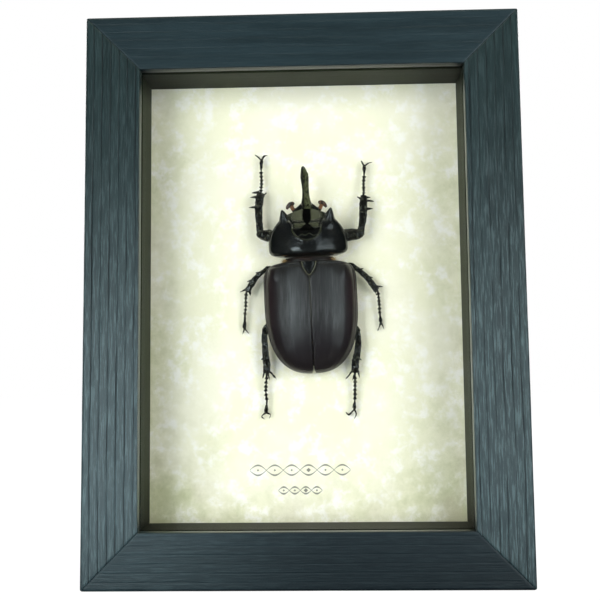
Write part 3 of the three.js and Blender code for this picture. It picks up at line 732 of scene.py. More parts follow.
def rail(side, length, turn, material):
    """One rail of the moulding with real grooves, placed by turning it about the middle of the frame."""
    section = rail_section()
    seed = RAIL_SEEDS[side]
    near = [0, 0.12, 0.3, 0.6, 1.1, 1.8, 2.8]
    middle = list(np.linspace(4.2, length - 2 * RAIL_FACE - 4.2, int(length / 2.2)))
    inner_length = length - 2 * RAIL_FACE
    share = np.array(near + middle + [inner_length - d for d in near[::-1]]) / inner_length
    out, deep = section[:, 0], section[:, 1]
    outs = np.tile(out, (len(share), 1))
    deeps = np.tile(deep, (len(share), 1))
    spans = length - 2 * outs - 2 * MITRE_GAP
    alongs = -length / 2 + outs + MITRE_GAP + share[:, None] * spans
    to_end = length / 2 - np.abs(alongs)
    bend = np.clip(OUTER_ROUND - to_end, 0, OUTER_ROUND)
    outs = np.maximum(outs, OUTER_ROUND - np.sqrt(OUTER_ROUND**2 - bend**2))
    on_face = (deeps < 0.02) & (outs > 0.3) & (outs < RAIL_FACE - 0.2)
    on_side = (outs < 0.6) & (deeps > 0.5) & (deeps < FRAME_DEPTH - 0.2)
    across = np.where(on_side, 40 + deeps, outs)
    cut = groove_depth(across, alongs, seed)
    cut = np.where(on_face | on_side, cut, 0)
    shallow = 1.0 if side in ("left", "right") else LEVEL_CUT
    ease = MITRE_SOFT * np.exp(-(((to_end - outs) / 0.35) ** 2)) * (deeps < 1.2) * (outs < RAIL_FACE - 0.1)
    deeps = deeps + np.where(on_face, cut * GROOVE_DEPTH * shallow, 0) + ease
    outs = outs + np.where(on_side, cut * GROOVE_DEPTH * SIDE_CUT, 0)
    middle_out = CENTRE_Z if turn in (0, 180) else FRAME_WIDTH / 2
    rings = np.stack([alongs, FRONT_Y + deeps, outs - middle_out], axis=-1)
    points, faces = skin(rings)
    spin = np.array(Matrix.Rotation(math.radians(turn), 3, "Y"))
    points = points @ spin.T + (0, 0, CENTRE_Z)
    marks = {"groove": np.clip(cut * shallow, 0, 1).reshape(-1)}
    name = "painted_rail_" + side
    return piece(name, points, faces, material, ["frame_rail_" + side], marks=marks)


def painted_rails():
    """The mitred frame: level rails at the foot and the top, uprights left and right."""
    rail("bottom", FRAME_WIDTH, 0, PAINT_LEVEL)
    rail("top", FRAME_WIDTH, 180, PAINT_LEVEL)
    rail("left", FRAME_HEIGHT, 90, PAINT_UPRIGHT)
    rail("right", FRAME_HEIGHT, -90, PAINT_UPRIGHT)


# The beetle's plates

ELYTRA = {"front": 3.6, "peak": -8, "wide": -9.5, "rear": -34.7, "half_width": 16.1, "rim": 5, "top": 13.2}
PRONOTUM = {"front": 22, "wide": 10, "rear": 5.5, "half_width": 13.7, "rim": 6.6, "top": 13.4}
ARCH_POWER = 0.85
ELYTRA_POWER = 0.92
SCUTELLUM_HALF = 2.65
SCUTELLUM_TIP = -1.8
SCUTELLUM_BASE = 3.2


def rounded(t, power):
    """Falls from 1 at t = 0 to 0 at t = 1; a larger power is squarer."""
    return np.maximum(0, 1 - np.abs(t) ** power) ** (1 / power)


def bump(value, centre, reach):
    """A smooth hump of height 1."""
    return np.exp(-(((value - centre) / reach) ** 2))


def step(low, high, value):
    """0 at low, 1 at high and smooth between; low may be the larger."""
    t = np.clip((value - low) / (high - low), 0, 1)
    return t * t * (3 - 2 * t)


def swell(v, front, most, rear, front_power, rear_power):
    """1 where v is most, falling to 0 at front and at rear."""
    ahead = np.clip((v - most) / (front - most), 0, 1)
    behind = np.clip((most - v) / (most - rear), 0, 1)
    return np.where(v > most, rounded(ahead, front_power), rounded(behind, rear_power))


def elytra_width(v):
    """Half the width of both wing cases together."""
    return ELYTRA["half_width"] * swell(v, ELYTRA["front"], ELYTRA["wide"], ELYTRA["rear"], 6, 2.55)


def elytra_top(v):
    """The wing cases' height along the seam."""
    rise = swell(v, ELYTRA["front"] + 0.3, ELYTRA["peak"], ELYTRA["rear"], 9, 2.1)
    return ELYTRA["rim"] + (ELYTRA["top"] - ELYTRA["rim"]) * rise


def wing_case(name, side):
    """One wing case: a domed shell with a beaded margin, a humped shoulder and very faint ribs."""
    rows, columns = 170, 90
    t = 0.5 - 0.5 * np.cos(np.linspace(0.004, 0.996, rows) * math.pi)
    v = (ELYTRA["front"] + (ELYTRA["rear"] - ELYTRA["front"]) * t)[:, None]
    angle = np.linspace(math.pi / 2, 0.0, columns)[None, :]
    across = np.cos(angle) ** ELYTRA_POWER
    up = np.sin(angle) ** ELYTRA_POWER
    width, top = elytra_width(v), elytra_top(v)
    u = width * across
    h = ELYTRA["rim"] + (top - ELYTRA["rim"]) * up
    share = angle / (math.pi / 2)
    body = step(0, 0.1, t[:, None]) * step(1, 0.9, t[:, None])
    # Three faint ribs, then the raised bead beside the seam with a line on each side of it
    for place in (0.72, 0.52, 0.35):
        h = h + 0.06 * bump(share, place, 0.05) * body
    h = h + 0.07 * bump(u, 0.45, 0.22) - 0.12 * bump(u, 0.0, 0.14) - 0.05 * bump(u, 0.85, 0.14)
    # The shoulder's hump with a dip inside it, and a smaller hump near the rear
    h = h + 0.55 * bump(u, 12.4, 1.5) * bump(v, -0.6, 2.6) - 0.3 * bump(u, 9.6, 1.2) * bump(v, 0.6, 2.0)
    h = h + 0.25 * bump(u, 8.5, 2.4) * bump(v, -27.5, 2.6)
    # A furrow above the margin, and the front edge's bead
    h = h - (0.12 + 0.3 * step(-9, -2, v)) * bump(share, 0.24, 0.03) * step(0, 0.08, t[:, None])
    front_edge = ELYTRA["front"] - v
    h = h + 0.2 * bump(front_edge, 0.75, 0.4) - 0.3 * bump(front_edge, 1.55, 0.28) * step(0.1, 0.3, share)
    around_scutellum = np.maximum(np.abs(u) - scutellum_half(v), 0) + np.maximum(-2.3 - v, 0)
    h = h - 1.0 * step(0.7, 0.0, around_scutellum)
    gutter = bump(share, 0.1, 0.035)
    u = u - 0.12 * gutter
    h = h - 0.1 * gutter
    seam = 0.02 + 0.13 * step(-12, -26, v) + 0.4 * step(ELYTRA["rear"] + 2.4, ELYTRA["rear"], v) ** 2
    u = np.maximum(u, seam)
    h = np.minimum(h, ELYTRA["top"] - 0.02)
    outer = np.stack([side * u, v * np.ones_like(u), h], axis=-1)
    inner = outer.copy()
    inner[..., 0] = side * np.maximum(np.abs(outer[..., 0]) * 0.955 - 0.12, seam)
    inner[..., 1] = ELYTRA["front"] - 0.5 + (outer[..., 1] - ELYTRA["front"]) * 0.965
    inner[..., 2] = ELYTRA["rim"] + 0.05 + (outer[..., 2] - ELYTRA["rim"]) * 0.9
    points, faces = skin(np.concatenate([outer, inner[:, ::-1]], axis=1))
    flank = np.concatenate([1 - share * np.ones_like(v), np.ones_like(u)], axis=1)
    suture = np.concatenate([bump(u, 0.0, 0.16) * step(-22, -12, v), np.zeros_like(u)], axis=1)
    marks = {"flank": flank.reshape(-1), "suture": suture.reshape(-1)}
    return piece(name + "_shell", spots(points), faces, SATIN, [name], marks=marks)


def scutellum_half(v):
    """Half the width of the scutellum, 0 outside it."""
    back = np.clip((SCUTELLUM_BASE - v) / (SCUTELLUM_BASE - SCUTELLUM_TIP), 0, 1)
    return SCUTELLUM_HALF * rounded(back**1.25, 1.3)


def pronotum_width(v):
    """Half the pronotum's width."""
    return PRONOTUM["half_width"] * swell(v, PRONOTUM["front"], PRONOTUM["wide"], PRONOTUM["rear"], 1.85, 5)


FRONT_FALL = {"from": 10.8, "eased_over": 8.5, "slope": 0.67}
REAR_FALL = {"from": 8.3, "bend": 0.06, "edge": 0.6}
RIM_U = {"u": -0.25, "v": 14.6, "half": 4.8, "length": 4.2, "height": 0.32, "line": 0.06}
# The middle stripe of painted dark reflection: its half widths at places along v
MIDDLE_STRIPE = {"v": [14.2, 16.3, 17.4, 19, 22], "half": [2.5, 0.65, 1.3, 1.5, 1.25]}
THORAX_HORN = {"base": (7.8, 18.2, 9.7), "tip": (8.4, 21.6, 12.3), "reach": 1.9}


def pronotum_top(v):
    """The pronotum's height along its middle: level, then falling evenly to the front margin."""
    ahead = np.maximum(v - FRONT_FALL["from"], 0) / FRONT_FALL["eased_over"]
    eased = np.where(ahead < 1, ahead**3 - ahead**4 / 2, ahead - 0.5)
    behind = np.maximum(REAR_FALL["from"] - v, 0)
    fall = FRONT_FALL["slope"] * FRONT_FALL["eased_over"] * eased
    top = PRONOTUM["top"] - fall - REAR_FALL["bend"] * behind**2
    edge = np.clip((PRONOTUM["rear"] + REAR_FALL["edge"] - v) / REAR_FALL["edge"], 0, 1)
    return PRONOTUM["rim"] + (top - PRONOTUM["rim"]) * rounded(edge, 2.2)


def hollow_depth(v):
    """How far the hollow inside the U-shaped rim lies below the middle line, at places along it."""
    return 0.4 * step(10.4, 11.2, v) + 0.8 * step(13.0, 16.4, v) - 0.5 * step(16.4, 23, v)


def pronotum():
    """The shield behind the head: a hollow front slope under a U-shaped rim, and a short horn each side."""
    rows, columns = 270, 290
    t = 0.5 - 0.5 * np.cos(np.linspace(0.01, 0.99, rows) * math.pi)
    v = (PRONOTUM["front"] + (PRONOTUM["rear"] - PRONOTUM["front"]) * t)[:, None]
    angle = np.linspace(0, math.pi, columns)[None, :]
    power = 0.8 - 0.25 * step(12, 19, v)
    across = np.sign(np.cos(angle)) * np.abs(np.cos(angle)) ** power
    up = np.sin(angle) ** power
    width, top = pronotum_width(v), pronotum_top(v)
    u = width * across
    crown = 1 - 0.38 * across**2 * step(17, 13, v)
    h = PRONOTUM["rim"] + (top - PRONOTUM["rim"]) * up * crown
    off = np.abs(u - RIM_U["u"])
    away = np.hypot(off / RIM_U["half"], np.minimum(v - RIM_U["v"], 0) / RIM_U["length"])
    open_front = step(16, 19, v)
    inside = step(1.1 + 0.7 * open_front, 0.96, away)
    floor = top - hollow_depth(v) + 0.0065 * u**2 * step(17.2, 15.6, v)
    h = h + inside * (np.minimum(floor, h) - h)
    h = h + RIM_U["height"] * bump(away, 1.03, RIM_U["line"]) * step(15.8, 14.6, v)
    wrinkle = 12.3 + 0.3 * np.sin(2.4 * u) - 0.06 * u**2
    h = h + 0.14 * bump(v, wrinkle, 0.2) * step(4.1, 3.2, off)
    h = np.minimum(h, PRONOTUM["top"] - 0.02)
    arch = np.stack([u, v * np.ones_like(u), h], axis=-1)
    for side in (1, -1):
        base = np.array(THORAX_HORN["base"]) * (side, 1, 1)
        tip = np.array(THORAX_HORN["tip"]) * (side, 1, 1)
        reach = np.linalg.norm((arch - base) * (1, 0.85, 0.75), axis=-1) / THORAX_HORN["reach"]
        pull = np.clip(1 - reach, 0, 1)
        skirt = 0.08 * np.exp(-((reach / 1.1) ** 2))
        arch = arch + (tip - base) * np.maximum(pull, skirt)[..., None]
    belly_share = np.array([-0.86, -0.6, -0.2, 0.2, 0.6, 0.86])
    lowest = 1.2 + 2.2 * step(15, PRONOTUM["front"], v)
    tucked = lowest + 3.2 * np.abs(belly_share) ** 4
    belly = np.stack([width * belly_share, v * np.ones_like(belly_share), tucked], axis=-1)
    points, faces = skin(np.concatenate([arch, belly], axis=1))
    # Where olive reflection and highlight are painted on the plate: the front slope, a wedge behind it, the
    # U's line and the wrinkle
    stripe = np.interp(v, MIDDLE_STRIPE["v"], MIDDLE_STRIPE["half"])
    beside = step(stripe - 0.2, stripe + 0.25, np.abs(u))
    from_horn = np.hypot(off - 7.8, v - 18.8)
    slope = step(16.7, 17.9, v - 0.03 * off**2) * step(9.5, 1.5, off) * step(1.3, 2.4, from_horn)
    wedge = 0.8 * step(14.2, 15.4, v) * step(17.0, 16.2, v) * step(4.7, 3.9, off)
    line = bump(away, 1.03, 0.035) * step(15.8, 14.6, v) * (0.6 + 0.4 * step(11, 13, v))
    crease = 0.9 * bump(v, wrinkle, 0.13) * step(3.4, 2.6, off)
    # Where a dull black painted dark reflection goes: the cup inside the U and the middle stripe
    cup = step(14.9, 14.1, v) * step(0.98, 0.9, away)
    shade = np.maximum((1 - beside) * step(12.6, 13.8, v), 0.5 * bump(v, 16.9, 0.45) * step(6, 4.5, off))
    shown = {
        "dimpled": bump(u, -0.2, 2.2) * bump(v, 9.7, 0.9),
        "painted_reflection": np.maximum(np.maximum(slope, wedge) * beside, np.maximum(line, crease)),
        "painted_dark_reflection": np.maximum(shade, 0.85 * cup) * (1 - np.maximum(line, crease)),
    }
    under = np.zeros(belly.shape[:2])
    marks = {mark: np.concatenate([values, under], axis=1).reshape(-1) for mark, values in shown.items()}
    return piece("pronotum_shield", spots(points), faces, GLOSSY, ["pronotum"], marks=marks)


def scutellum():
    """A small shield with a raised pale edge, let in between the wing cases and sloping with them."""
    rows, columns = 40, 40
    v = np.linspace(SCUTELLUM_BASE, SCUTELLUM_TIP + 0.02, rows)[:, None]
    half = np.maximum(scutellum_half(v), 0.05)
    u = half * np.linspace(-1, 1, columns)[None, :]
    edge = np.minimum(half - np.abs(u), (v - SCUTELLUM_TIP) * 0.8)
    h = np.minimum(elytra_top(v), 12.55) - 0.1 + 0.12 * step(0.0, 0.25, edge) - 0.3 * bump(edge, 0.75, 0.3)
    h = h - 0.1 * step(0.9, 1.4, edge)
    face = np.stack([u, v * np.ones_like(u), h], axis=-1)
    under = face[:, ::-1].copy()
    under[..., 2] -= 1.6
    points, faces = skin(np.concatenate([face, under], axis=1))
    pale = np.concatenate([bump(edge, 0.2, 0.14), np.zeros_like(u)], axis=1)
    where, marks = spots(points), {"pale_edge": pale.reshape(-1)}
    return piece("scutellum_shield", where, faces, GLOSSY, ["scutellum"], marks=marks)


def cross_section(v, width, rim, top, belly, columns=40):
    """A whole cross-section of the trunk: arch above the rim, flattened belly below it."""
    angle = np.linspace(0, 2 * math.pi, columns, endpoint=False)
    across = np.sign(np.cos(angle)) * np.abs(np.cos(angle)) ** 0.8
    up = np.sin(angle)
    h = np.where(up > 0, rim + (top - rim) * np.abs(up) ** 0.85, rim - (rim - belly) * np.abs(up) ** 0.5)
    return np.column_stack([width * across, np.full(columns, v), h])


def underbody():
    """Breast and abdomen under the wing cases, grooved at each segment, and the neck in front of them."""
    rings = []
    for v in np.linspace(PRONOTUM["rear"] - 0.4, ELYTRA["front"] - 0.5, 8):
        crease = 0.25 * math.cos((v - 4) * 9)
        rings.append(cross_section(v, 8.7 + crease, 4.4, 9.3 + crease, 1.0))
    for v in np.linspace(ELYTRA["front"] - 1.4, ELYTRA["rear"] + 2.6, 46):
        width = max(float(elytra_width(np.array(v))) - 1.4, 0.8)
        top = max(float(elytra_top(np.array(v))) - 1.5, 5.3)
        lift = 0.3 + 4 * float(step(-24, ELYTRA["rear"], v))
        segment = 0.22 * max(0.0, math.cos(2 * math.pi * v / 5.2)) ** 8
        rings.append(cross_section(v, width - segment, 4.4, top, lift + segment))
    points, faces = skin(rings)
    return piece("breast_and_abdomen", spots(points), faces, BROWN, ["underbody"])


# Head, horn and antennae

HORN_PATH = [
    (0, 22.4, 3.4), (0, 23.1, 4.9), (0, 24, 6.4), (0, 24.9, 7.5), (0, 26.4, 8.6), (0, 28.8, 9.8),
    (-0.05, 30.8, 10.9), (-0.1, 32.4, 11.9), (-0.25, 33.8, 13.1), (-0.4, 34.8, 14), (-0.45, 35.3, 14.5),
]
HORN_HALF = [2.3, 2.1, 1.85, 1.6, 1.3, 1.2, 1.35, 1.45, 1.1, 0.75, 0.35]
HEAD_SECTIONS = [
    # v, half width, top
    (20.6, 4.8, 4.0), (21.4, 5.1, 4.5), (22.2, 4.8, 5.2), (22.9, 4.1, 5.9), (23.6, 3.2, 6.5),
    (24.3, 2.3, 6.7), (25, 1.6, 6),
]


def head():
    """Head and horn in one. The horn narrows to a neck, swells a little and bends up at its blunt tip."""
    capsule = skin([cross_section(v, width, 4, top, 2.2, 36) for v, width, top in HEAD_SECTIONS])
    horn = limb(HORN_PATH, HORN_HALF, sides=32, flat=0.85, steps=8)
    eyes = [ball((side * 4.35, 22.3, 4.6), (0.9, 0.9, 0.9)) for side in (-1, 1)]
    knobs = [ball((0.55, 32.9, 12.5), (0.75, 1.0, 0.7)), ball((-0.85, 33.6, 13.0), (0.5, 0.8, 0.6))]
    return fused("head_and_horn", [capsule, horn, *eyes, *knobs], 0.11, 3, HORN, ["head"])


CLUB_PATH = [(4.2, 24.3, 5.6), (4.8, 24.5, 5.6), (5.7, 24.3, 5.5), (6.5, 23.5, 5.3), (6.95, 22.8, 5.2)]
STALK_JOINTS = [(4.3, 22.2, 4.8), (4.75, 22.6, 5.1), (5.0, 23.1, 5.3), (5.2, 23.6, 5.4)]


def antenna(side, stands_for):
    """A jointed stalk, amber near the head, and a folded club of three dark leaves."""
    joints = [(side * u, v, h) for u, v, h in STALK_JOINTS]
    beads = [ball(joint, (0.78, 0.6, 0.55), 8, 12) for joint in joints]
    stalk = limb(joints, [0.45, 0.5, 0.5, 0.4], 10)
    fused(stands_for + "_stalk", [stalk, *beads], 0.1, 2, AMBER, [stands_for])
    leaves = []
    for lift in (-0.5, 0.0, 0.5):
        path = [(side * u, v, h + lift) for u, v, h in CLUB_PATH]
        leaves.append(limb(path, [0.35, 0.62, 0.7, 0.62, 0.35], 16, 0.35))
    fused(stands_for + "_club", leaves, 0.1, 2, CLUB)


# Legs

FORE = {"femur": [2, 2.2, 1.7], "tibia": [1.3, 1.3, 1.45, 1.5, 1.1], "thorn": 0.62}
MIDDLE = {"femur": [1.7, 1.9, 1.2], "tibia": [0.85, 0.95, 1.1, 1.15], "thorn": 0.5}
HIND = {"femur": [1.9, 2.1, 1.3], "tibia": [1.0, 1.1, 1.2, 1.35, 1.4], "thorn": 0.5}
TARSUS_BEAD = [(0, 0.3), (0.25, 0.38), (0.72, 0.72), (0.9, 0.55)]  # share of the bead, half width
CLAW_BEAD = [(0, 0.3), (0.3, 0.38), (0.8, 0.68), (1.0, 0.55)]
# Places in u, v, h; thorns and spurs go from root to tip in u, v, claws from bend to tip
LEGS = {
    "foreleg_left": dict(
        build=FORE, hip=(-10, 13.2, 4),
        tibia=[(-16.4, 14.2, 5), (-16.7, 18, 4.8), (-16.8, 23, 4.2), (-16.3, 27.2, 3.9), (-15.9, 29.2, 3.6)],
        thorns=[[(-17, 29.5), (-19, 29.5)], [(-17.4, 27.8), (-19.9, 27.9)], [(-17.9, 24.2), (-20.3, 24.2)]],
        spurs=[[(-15.2, 27.8), (-13.9, 29.2)]],
        tarsus=[
            (-15.8, 29.6, 3), (-15.6, 31.8, 2.8), (-15.4, 34.4, 2.5), (-15.5, 37.2, 2.5), (-15.2, 41.2, 2),
        ],
        claws=[[(-16.3, 42.5, 1.9), (-17.5, 43.6, 1.4)], [(-14.2, 42.8, 1.9), (-13, 43.2, 1.4)]],
    ),
    "foreleg_right": dict(
        build=FORE, hip=(10, 12.6, 4),
        tibia=[(18.2, 12.8, 5), (18.9, 15.8, 4.8), (19.5, 19.2, 4.3), (19.8, 23, 4), (20.1, 26.5, 3.6)],
        thorns=[[(20.9, 25.7), (22.5, 25.7)], [(21.2, 24.6), (23.8, 24.2)], [(21.1, 21.7), (23.1, 21.6)]],
        spurs=[[(19.2, 25.2), (17.9, 26.2)]],
        tarsus=[(20.2, 26.9, 3), (20.3, 28.8, 2.8), (20.4, 31.2, 2.5), (20.7, 33.8, 2.5), (21, 37.2, 2)],
        claws=[[(20.3, 38.7, 1.9), (19.8, 39.9, 1.4)], [(22.4, 38.3, 1.9), (23.7, 38.7, 1.4)]],
    ),
    "middle_leg_left": dict(
        build=MIDDLE, hip=(-7, -1, 2.4),
        tibia=[(-14.4, 2.4, 4), (-18.1, 0, 3.8), (-20.5, -2.8, 3.4), (-22, -5, 3)],
        thorns=[[(-20.6, -1.4), (-22, -1.8)], [(-22.2, -4.4), (-24.6, -5.2)], [(-17.9, 1), (-18.9, 1.2)]],
        spurs=[[(-21.2, -5.2), (-21, -6.8)]],
        tarsus=[
            (-22.4, -5.4, 2.5), (-22.7, -8, 2.2), (-22.9, -10.6, 2), (-23.3, -13.2, 1.7), (-23.6, -17.8, 1.5),
        ],
        claws=[[(-24, -18.9, 1.3), (-24.6, -20, 0.8)], [(-22.9, -18.9, 1.3), (-22.2, -19.8, 0.8)]],
    ),
    "middle_leg_right": dict(
        build=MIDDLE, hip=(7, -1, 2.4),
        tibia=[(14.6, 2.2, 4), (18, -0.6, 3.8), (20.7, -3.6, 3.4), (22.9, -7, 3)],
        thorns=[[(20.3, -2.2), (21.9, -2.6)], [(23, -5.6), (25.5, -5.8)], [(17.8, 0.6), (18.8, 0.8)]],
        spurs=[[(22.4, -7), (22.8, -8.7)]],
        tarsus=[(23.4, -7.4, 2.5), (23.6, -9.8, 2.2), (23.6, -12.4, 2), (23.7, -15, 1.7), (23.9, -17.9, 1.5)],
        claws=[[(23.4, -19.3, 1.3), (22.7, -20.8, 0.8)], [(24.5, -19.3, 1.3), (25, -20.8, 0.8)]],
    ),
    "hind_leg_left": dict(
        build=HIND, hip=(-6.5, -12, 2.4),
        tibia=[(-16.2, -18.8, 4.5), (-16.6, -22, 4.2), (-16.5, -27, 4), (-16.3, -31, 3.4), (-16.4, -33.4, 3)],
        thorns=[[(-17.2, -28.7), (-18.3, -29.3)]],
        spurs=[
            [(-17.2, -33.2), (-17.9, -35.6)], [(-15.3, -33.4), (-13, -36.2)], [(-16, -34), (-15.5, -36.4)],
        ],
        tarsus=[
            (-16.5, -34.6, 2.5), (-16.9, -37.7, 2.2), (-17.1, -40.3, 2), (-16.9, -43.2, 1.7),
            (-17.3, -47.3, 1.5),
        ],
        claws=[[(-18.9, -48.6, 1.3), (-17.8, -49.8, 0.8)], [(-15.9, -48.2, 1.3), (-16.5, -49.7, 0.8)]],
    ),
    "hind_leg_right": dict(
        build=HIND, hip=(6.5, -12, 2.4),
        tibia=[(15.4, -20.6, 4.5), (15.7, -23.4, 4.2), (15.3, -27.3, 4), (14.4, -31.2, 3.4), (14, -34.6, 3)],
        thorns=[[(15.4, -30.2), (16.5, -30.9)]],
        spurs=[[(15, -34.6), (15.6, -37)], [(13, -34.7), (10.7, -37.1)], [(13.9, -35.2), (13, -37.6)]],
        tarsus=[
            (13.9, -36, 2.5), (13.9, -38.7, 2.2), (13.7, -41.4, 2), (13.5, -44.4, 1.7), (13.2, -47.4, 1.5),
        ],
        claws=[[(11.3, -49.4, 1.3), (10.1, -48.4, 0.8)], [(13.7, -49.3, 1.3), (13, -50.9, 0.8)]],
    ),
}


def between(start, end, share, sideways=0.0, lift=0.0):
    """A point part of the way from start to end, moved across the paper and up from it."""
    start, end = np.asarray(start, float), np.asarray(end, float)
    along = (end - start) / np.linalg.norm(end - start)
    across = np.array([-along[1], along[0], 0])
    return start + (end - start) * share + across * sideways + (0, 0, lift)


def thorn(places, root, tip, half):
    """A thorn that starts inside the tibia and curves a little up to its sharp tip."""
    tibia = np.array(places["tibia"])
    nearest = tibia[np.argmin(np.hypot(*(tibia[:, :2] - root).T))]
    height = nearest[2]
    start = np.array([*root, height])
    end = np.array([*tip, height - 0.3])
    inside = start + (nearest - start) * (0.5, 0.1, 0)
    path = [inside, start, between(start, end, 0.55, 0, 0.25), end]
    return limb(path, [half * 1.15, half * 0.85, half * 0.52, 0.09], 10, 0.85)


def tarsus(stops):
    """Two flared beads from each stop to the next, but one longer claw bead in the last stretch."""
    beads = []
    for start, end in zip(stops, stops[1:]):
        middle = between(start, end, 0.5)
        if end is stops[-1]:
            shape, lengths = CLAW_BEAD, [(start, end)]
        else:
            shape, lengths = TARSUS_BEAD, [(start, middle), (middle, end)]
        for low, high in lengths:
            points = [between(low, high, share) for share, _ in shape]
            beads.append(limb(points, [half for _, half in shape], 12))
    return beads


def leg(name):
    """A whole leg: femur, tibia with thorns and spurs, beaded tarsus and two curved claws."""
    places = LEGS[name]
    build = places["build"]
    hip, knee = places["hip"], places["tibia"][0]
    femur_half = build["femur"] + [build["femur"][2] * 0.5]
    thigh = [between(hip, knee, share) for share in (0.1, 0.55, 0.95, 1.06)]
    femur = limb(thigh, femur_half, 32, 0.85, 8, 0.04)
    tibia = limb(places["tibia"], build["tibia"], 32, 0.8, 8, 0.07)
    knob = ball(between(knee, places["tibia"][1], 0.04), [build["tibia"][0] * 1.15] * 3, 12, 18)
    thorns = [thorn(places, root, tip, build["thorn"]) for root, tip in places["thorns"] + places["spurs"]]
    end = places["tarsus"][-1]
    neck = between(places["tarsus"][-2], end, 0.9)
    claws = [limb([neck, end, bend, tip], [0.34, 0.34, 0.26, 0.1], 10) for bend, tip in places["claws"]]
    ankle = limb([places["tibia"][-1], places["tarsus"][0]], [0.6, 0.35], 12)
    parts = [femur, tibia, knob, *thorns, ankle, *tarsus(places["tarsus"]), *claws]
    return fused(name + "_spined", parts, 0.1, 1, LEG, [name], bumpy=0.07)


def leg_bristles():
    """Short stiff hairs along each tibia and under the tarsus."""
    draw = random.Random(5)
    roots, tips = [], []
    for places in LEGS.values():
        for part, count, inner, outer in (("tibia", 13, 0.9, 1.55), ("tarsus", 11, 0.3, 0.85)):
            joints = places[part]
            for start, end in zip(joints, joints[1:]):
                for _ in range(count):
                    share, side = draw.uniform(0.05, 0.9), draw.choice((-1, 1))
                    roots.append(between(start, end, share, side * inner * 0.8, draw.uniform(-0.3, 0.3)))
                    reach = side * draw.uniform(inner, outer)
                    tips.append(between(start, end, share + 0.12, reach, draw.uniform(-0.3, 0.4)))
    bristles("leg_bristles", roots, tips, 0.03, BROWN)


def neck_fringe():
    """Pale golden hairs in the gap behind the pronotum, thickest at its two ends."""
    draw = random.Random(9)
    roots, tips = [], []
    for _ in range(700):
        side = draw.choice((-1, 1))
        u = side * (9.3 - abs(draw.gauss(0, 1.3)))
        v = draw.uniform(3.7, 4.8)
        h = 6.4 + draw.uniform(-0.6, 2.2) * (1 - (abs(u) / 14) ** 2)
        roots.append((u * 0.9, v, h - 0.9))
        out, back, lift = draw.uniform(-0.3, 1.2), draw.uniform(-0.8, 0.4), draw.uniform(-0.3, 0.6)
        tips.append((u + side * out, v + back, h + lift))
    bristles("neck_fringe", roots, tips, 0.022, HAIR)


def beetle():
    """All the beetle's pieces, from its wing cases to its hairs."""
    wing_case("elytron_left", -1)
    wing_case("elytron_right", 1)
    pronotum()
    scutellum()
    underbody()
    head()
    antenna(-1, "antenna_left")
    antenna(1, "antenna_right")
    for name in LEGS:
        leg(name)
    leg_bristles()
    neck_fringe()


# What the frame holds


SLAB_FACES = [(0, 1, 3, 2), (4, 6, 7, 5), (0, 4, 5, 1), (2, 3, 7, 6), (0, 2, 6, 4), (1, 5, 7, 3)]
SPACERS = {"top": CARD_LEVEL, "bottom": CARD_LEVEL, "left": CARD_UPRIGHT, "right": CARD_UPRIGHT}


def rounded_slab(name, low, high, material, slot, stands_for, edge):
    """A sheet or strip whose edges are softened over edge millimetres."""
    corners = [(x, y, z) for x in (low.x, high.x) for y in (low.y, high.y) for z in (low.z, high.z)]
    slab = piece(name, corners, SLAB_FACES, material, [stands_for])
    bevel = slab.modifiers.new("soft_edges", "BEVEL")
    bevel.width = edge * MM
    bevel.segments = 2
    bevel.harden_normals = True
    return slab


def contents():
    """The pane and the spacers, and the finishes of the CAD nodes that stay as they are."""
    pane = rounded_slab("clear_pane", GLASS_LOW, GLASS_HIGH, GLASS, "glass", "glass_pane", 0.15)
    pane.visible_shadow = False
    for side, material in SPACERS.items():
        node = "spacer_" + side
        rounded_slab("covered_" + node, *box_mm(node), material, "spacer_card", node, 0.2)
    for node, material in (("specimen_board", PARCHMENT), ("back_panel", HARDBOARD), ("dust_cover", KRAFT)):
        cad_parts[node].material_slots[0].material = material
    for node in ("sawtooth_hanger", "hanger_nail_left", "hanger_nail_right"):
        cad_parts[node].material_slots[0].material = STEEL


# Studio


COOL = (0.82, 0.97, 1.0)
OLIVE = (0.95, 1.0, 0.74)
FILL_SIZE = (900, 900)
SPECIMEN_MIDDLE = (0, 0, 100)
SWEEP_HALF = 3000
SWEEP_AHEAD = -130
SWEEP_BEHIND = 6000
SWEEP_GAP = 0.2  # so that the sheet doesn't lie in the frame's underside


def window_light(name, place, size, watts, colour=(1, 1, 1), plates_see_it=True):
    """A rectangular light turned to the beetle. Glossy plates reflect it unless they aren't to see it."""
    lamp = bpy.data.lights.new(name, "AREA")
    lamp.shape = "RECTANGLE"
    lamp.size, lamp.size_y = size[0] * MM, size[1] * MM
    lamp.energy = watts
    lamp.color = colour
    light = bpy.data.objects.new(name, lamp)
    light.location = Vector(place) * MM
    light.rotation_euler = (Vector(SPECIMEN_MIDDLE) - Vector(place)).to_track_quat("-Z", "Y").to_euler()
    light.visible_glossy = plates_see_it
    light.visible_transmission = plates_see_it
    bpy.context.scene.collection.objects.link(light)


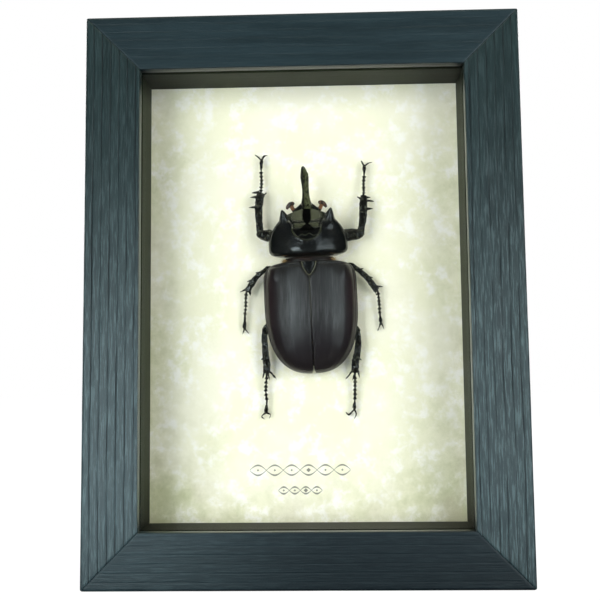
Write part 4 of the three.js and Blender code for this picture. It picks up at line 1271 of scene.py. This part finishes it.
def white_floor():
    """A white sheet under the frame, bright enough to look like a seamless sweep. Plates don't reflect it."""
    sheet = Finish("white_sweep", Base_Color=(0.1, 0.1, 0.1, 1), Roughness=0.9, Specular_IOR_Level=0)
    sheet.shader.inputs["Emission Color"].default_value = (1, 1, 1, 1)
    sheet.shader.inputs["Emission Strength"].default_value = 1.0
    mesh = bpy.data.meshes.new("sweep")
    front = [(-SWEEP_HALF, SWEEP_AHEAD), (SWEEP_HALF, SWEEP_AHEAD)]
    back = [(SWEEP_HALF, SWEEP_BEHIND), (-SWEEP_HALF, SWEEP_BEHIND)]
    mesh.from_pydata([(x * MM, y * MM, 0) for x, y in front + back], [], [(0, 1, 2, 3)])
    mesh.materials.append(sheet.material)
    floor = bpy.data.objects.new("sweep", mesh)
    floor.location.z = -SWEEP_GAP * MM
    floor.visible_glossy = False
    floor.visible_transmission = False
    floor.visible_diffuse = False
    bpy.context.scene.collection.objects.link(floor)


def studio_world():
    """White behind the frame, and a dim olive-grey room for whatever the plates reflect."""
    world = bpy.data.worlds.new("studio")
    bpy.context.scene.world = world
    world.use_nodes = True
    tree = world.node_tree
    room = tree.nodes["Background"]
    room.inputs["Color"].default_value = (0.32, 0.34, 0.27, 1)
    room.inputs["Strength"].default_value = 0.08
    white = tree.nodes.new("ShaderNodeBackground")
    white.inputs["Color"].default_value = (1, 1, 1, 1)
    white.inputs["Strength"].default_value = 1.0
    seen = tree.nodes.new("ShaderNodeLightPath")
    mix = tree.nodes.new("ShaderNodeMixShader")
    tree.links.new(seen.outputs["Is Camera Ray"], mix.inputs[0])
    tree.links.new(room.outputs[0], mix.inputs[1])
    tree.links.new(white.outputs[0], mix.inputs[2])
    tree.links.new(mix.outputs[0], tree.nodes["World Output"].inputs["Surface"])


CAMERA_PLACE = (8.36, -312.38, 65.13)
CAMERA_FORWARD = Vector((-0.0318, 0.9951, 0.0936)).normalized()
CAMERA_UP = Vector((0.0135, -0.0932, 0.9956))
CAMERA_LENS = 54.76
CAMERA_SENSOR = 36


def camera():
    """Close in front of the frame, a little below its middle and to its right, looking slightly up."""
    eye = bpy.data.cameras.new("eye")
    eye.lens = CAMERA_LENS
    eye.sensor_width = CAMERA_SENSOR
    eye.clip_start = 0.01
    eye.clip_end = 50
    right = CAMERA_FORWARD.cross(CAMERA_UP).normalized()
    up = right.cross(CAMERA_FORWARD)
    turn = Matrix((right, up, -CAMERA_FORWARD)).transposed().to_4x4()
    turn.translation = Vector(CAMERA_PLACE) * MM
    holder = bpy.data.objects.new("eye", eye)
    holder.matrix_world = turn
    bpy.context.scene.collection.objects.link(holder)
    bpy.context.scene.camera = holder


def studio_lights():
    """Two low windows and a card overhead for the plates to reflect, soft fills in front and behind."""
    window_light("left_low_window", (-350, -800, 10), (260, 340), 1.25, COOL)
    window_light("right_low_window", (520, -780, 60), (620, 440), 1.7, COOL)
    window_light("overhead_card", (0, -330, 780), (900, 320), 0.95, OLIVE)
    window_light("left_fill", (-900, -1100, 220), FILL_SIZE, 14.9, plates_see_it=False)
    window_light("right_fill", (900, -1100, 220), FILL_SIZE, 14.1, plates_see_it=False)
    window_light("left_back_fill", (-800, 1000, 600), FILL_SIZE, 12)
    window_light("right_back_fill", (800, 1000, 600), FILL_SIZE, 12)


camera()
painted_rails()
contents()
beetle()
white_floor()
studio_world()
studio_lights()
bpy.context.scene.view_settings.view_transform = "Standard"
